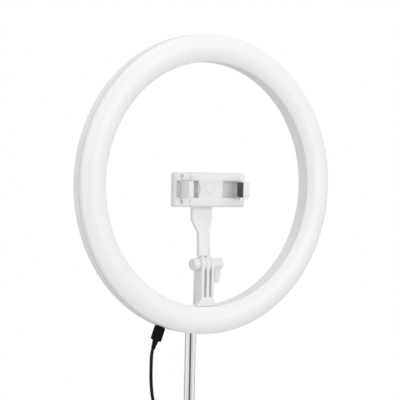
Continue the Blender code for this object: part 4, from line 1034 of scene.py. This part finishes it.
def card(azimuth, width, level):
    """A card that only reflections see, level with the tube, facing the column."""
    a = radians(azimuth)
    centre = COLUMN + Vector((sin(a), -cos(a), 0.0)) * CARD_DISTANCE
    centre.z = CARD_MIDDLE
    across = Vector((cos(a), sin(a), 0.0)) * width / 2
    up = Vector((0, 0, CARD_HEIGHT / 2))
    mesh = bpy.data.meshes.new("flag")
    mesh.from_pydata([centre - across - up, centre + across - up, centre + across + up,
                      centre - across + up], [], [(0, 1, 2, 3)])
    mesh.materials.append(emitter("flag", level))
    obj = link("flag", mesh)
    for ray in ("camera", "diffuse", "shadow", "transmission", "volume_scatter"):
        setattr(obj, "visible_" + ray, False)


def make_floor():
    """A round pale floor."""
    mesh = bpy.data.meshes.new("floor")
    turns = [tau * k / FLOOR_STEPS for k in range(FLOOR_STEPS)]
    mesh.from_pydata([(FLOOR_R * cos(a), FLOOR_R * sin(a), 0.0) for a in turns], [],
                     [tuple(range(FLOOR_STEPS))])
    mesh.materials.append(surface("floor", (0.67, 0.67, 0.67), (0.71, 0.71, 0.71), (0.7, 0.8),
                                  coarse=3.0, grain=120.0, bump=0.01))
    link("floor", mesh)


def make_world():
    """White to the camera and in reflections, dimmer as a light."""
    world = bpy.data.worlds.new("studio")
    bpy.context.scene.world = world
    world.use_nodes = True
    tree = world.node_tree
    tree.nodes.clear()
    seen = shader(tree, "Background", Strength=1.0, Color=(1, 1, 1, 1))
    ambient = shader(tree, "Background", Strength=AMBIENT, Color=(0.99, 0.995, 1.0, 1))
    path, mix, either = (shader(tree, kind) for kind in ("LightPath", "MixShader", "Math"))
    either.operation = "MAXIMUM"
    output = shader(tree, "OutputWorld")
    for source, target in ((path.outputs["Is Camera Ray"], either.inputs[0]),
                           (path.outputs["Is Glossy Ray"], either.inputs[1]),
                           (either.outputs["Value"], mix.inputs["Fac"]),
                           (ambient.outputs["Background"], mix.inputs[1]),
                           (seen.outputs["Background"], mix.inputs[2]),
                           (mix.outputs["Shader"], output.inputs["Surface"])):
        tree.links.new(source, target)


def make_studio():
    """Floor, soft lights, and the cards the chrome reflects."""
    make_world()
    make_floor()
    for light in LIGHTS:
        area_light(*light)
    for place in CARDS:
        card(*place)
    bpy.context.scene.view_settings.view_transform = "Standard"


# ---------------------------------------- build
def finish_carried_nodes():
    """Give every CAD node that still shows its procedural finish."""
    for name, obj in frame["nodes"].items():
        if not obj.hide_render:
            obj.data.materials.clear()
            obj.data.materials.append(FINISHES[SLOT_OF[name]])


make_camera()
plug = make_ring_plug()
make_cords(make_usb_plug())
make_diffuser()
make_housing()
make_back_details()
make_bracket()
make_post()
make_clamp()
for jaw_side in JAWS:
    make_jaw(jaw_side)
make_arm()
make_hinge_hardware()
make_mast()
make_column()
make_hub()
for leg_number, leg_angle in enumerate(LEG_ANGLES, 1):
    make_leg(leg_number, leg_angle)
finish_carried_nodes()
make_studio()
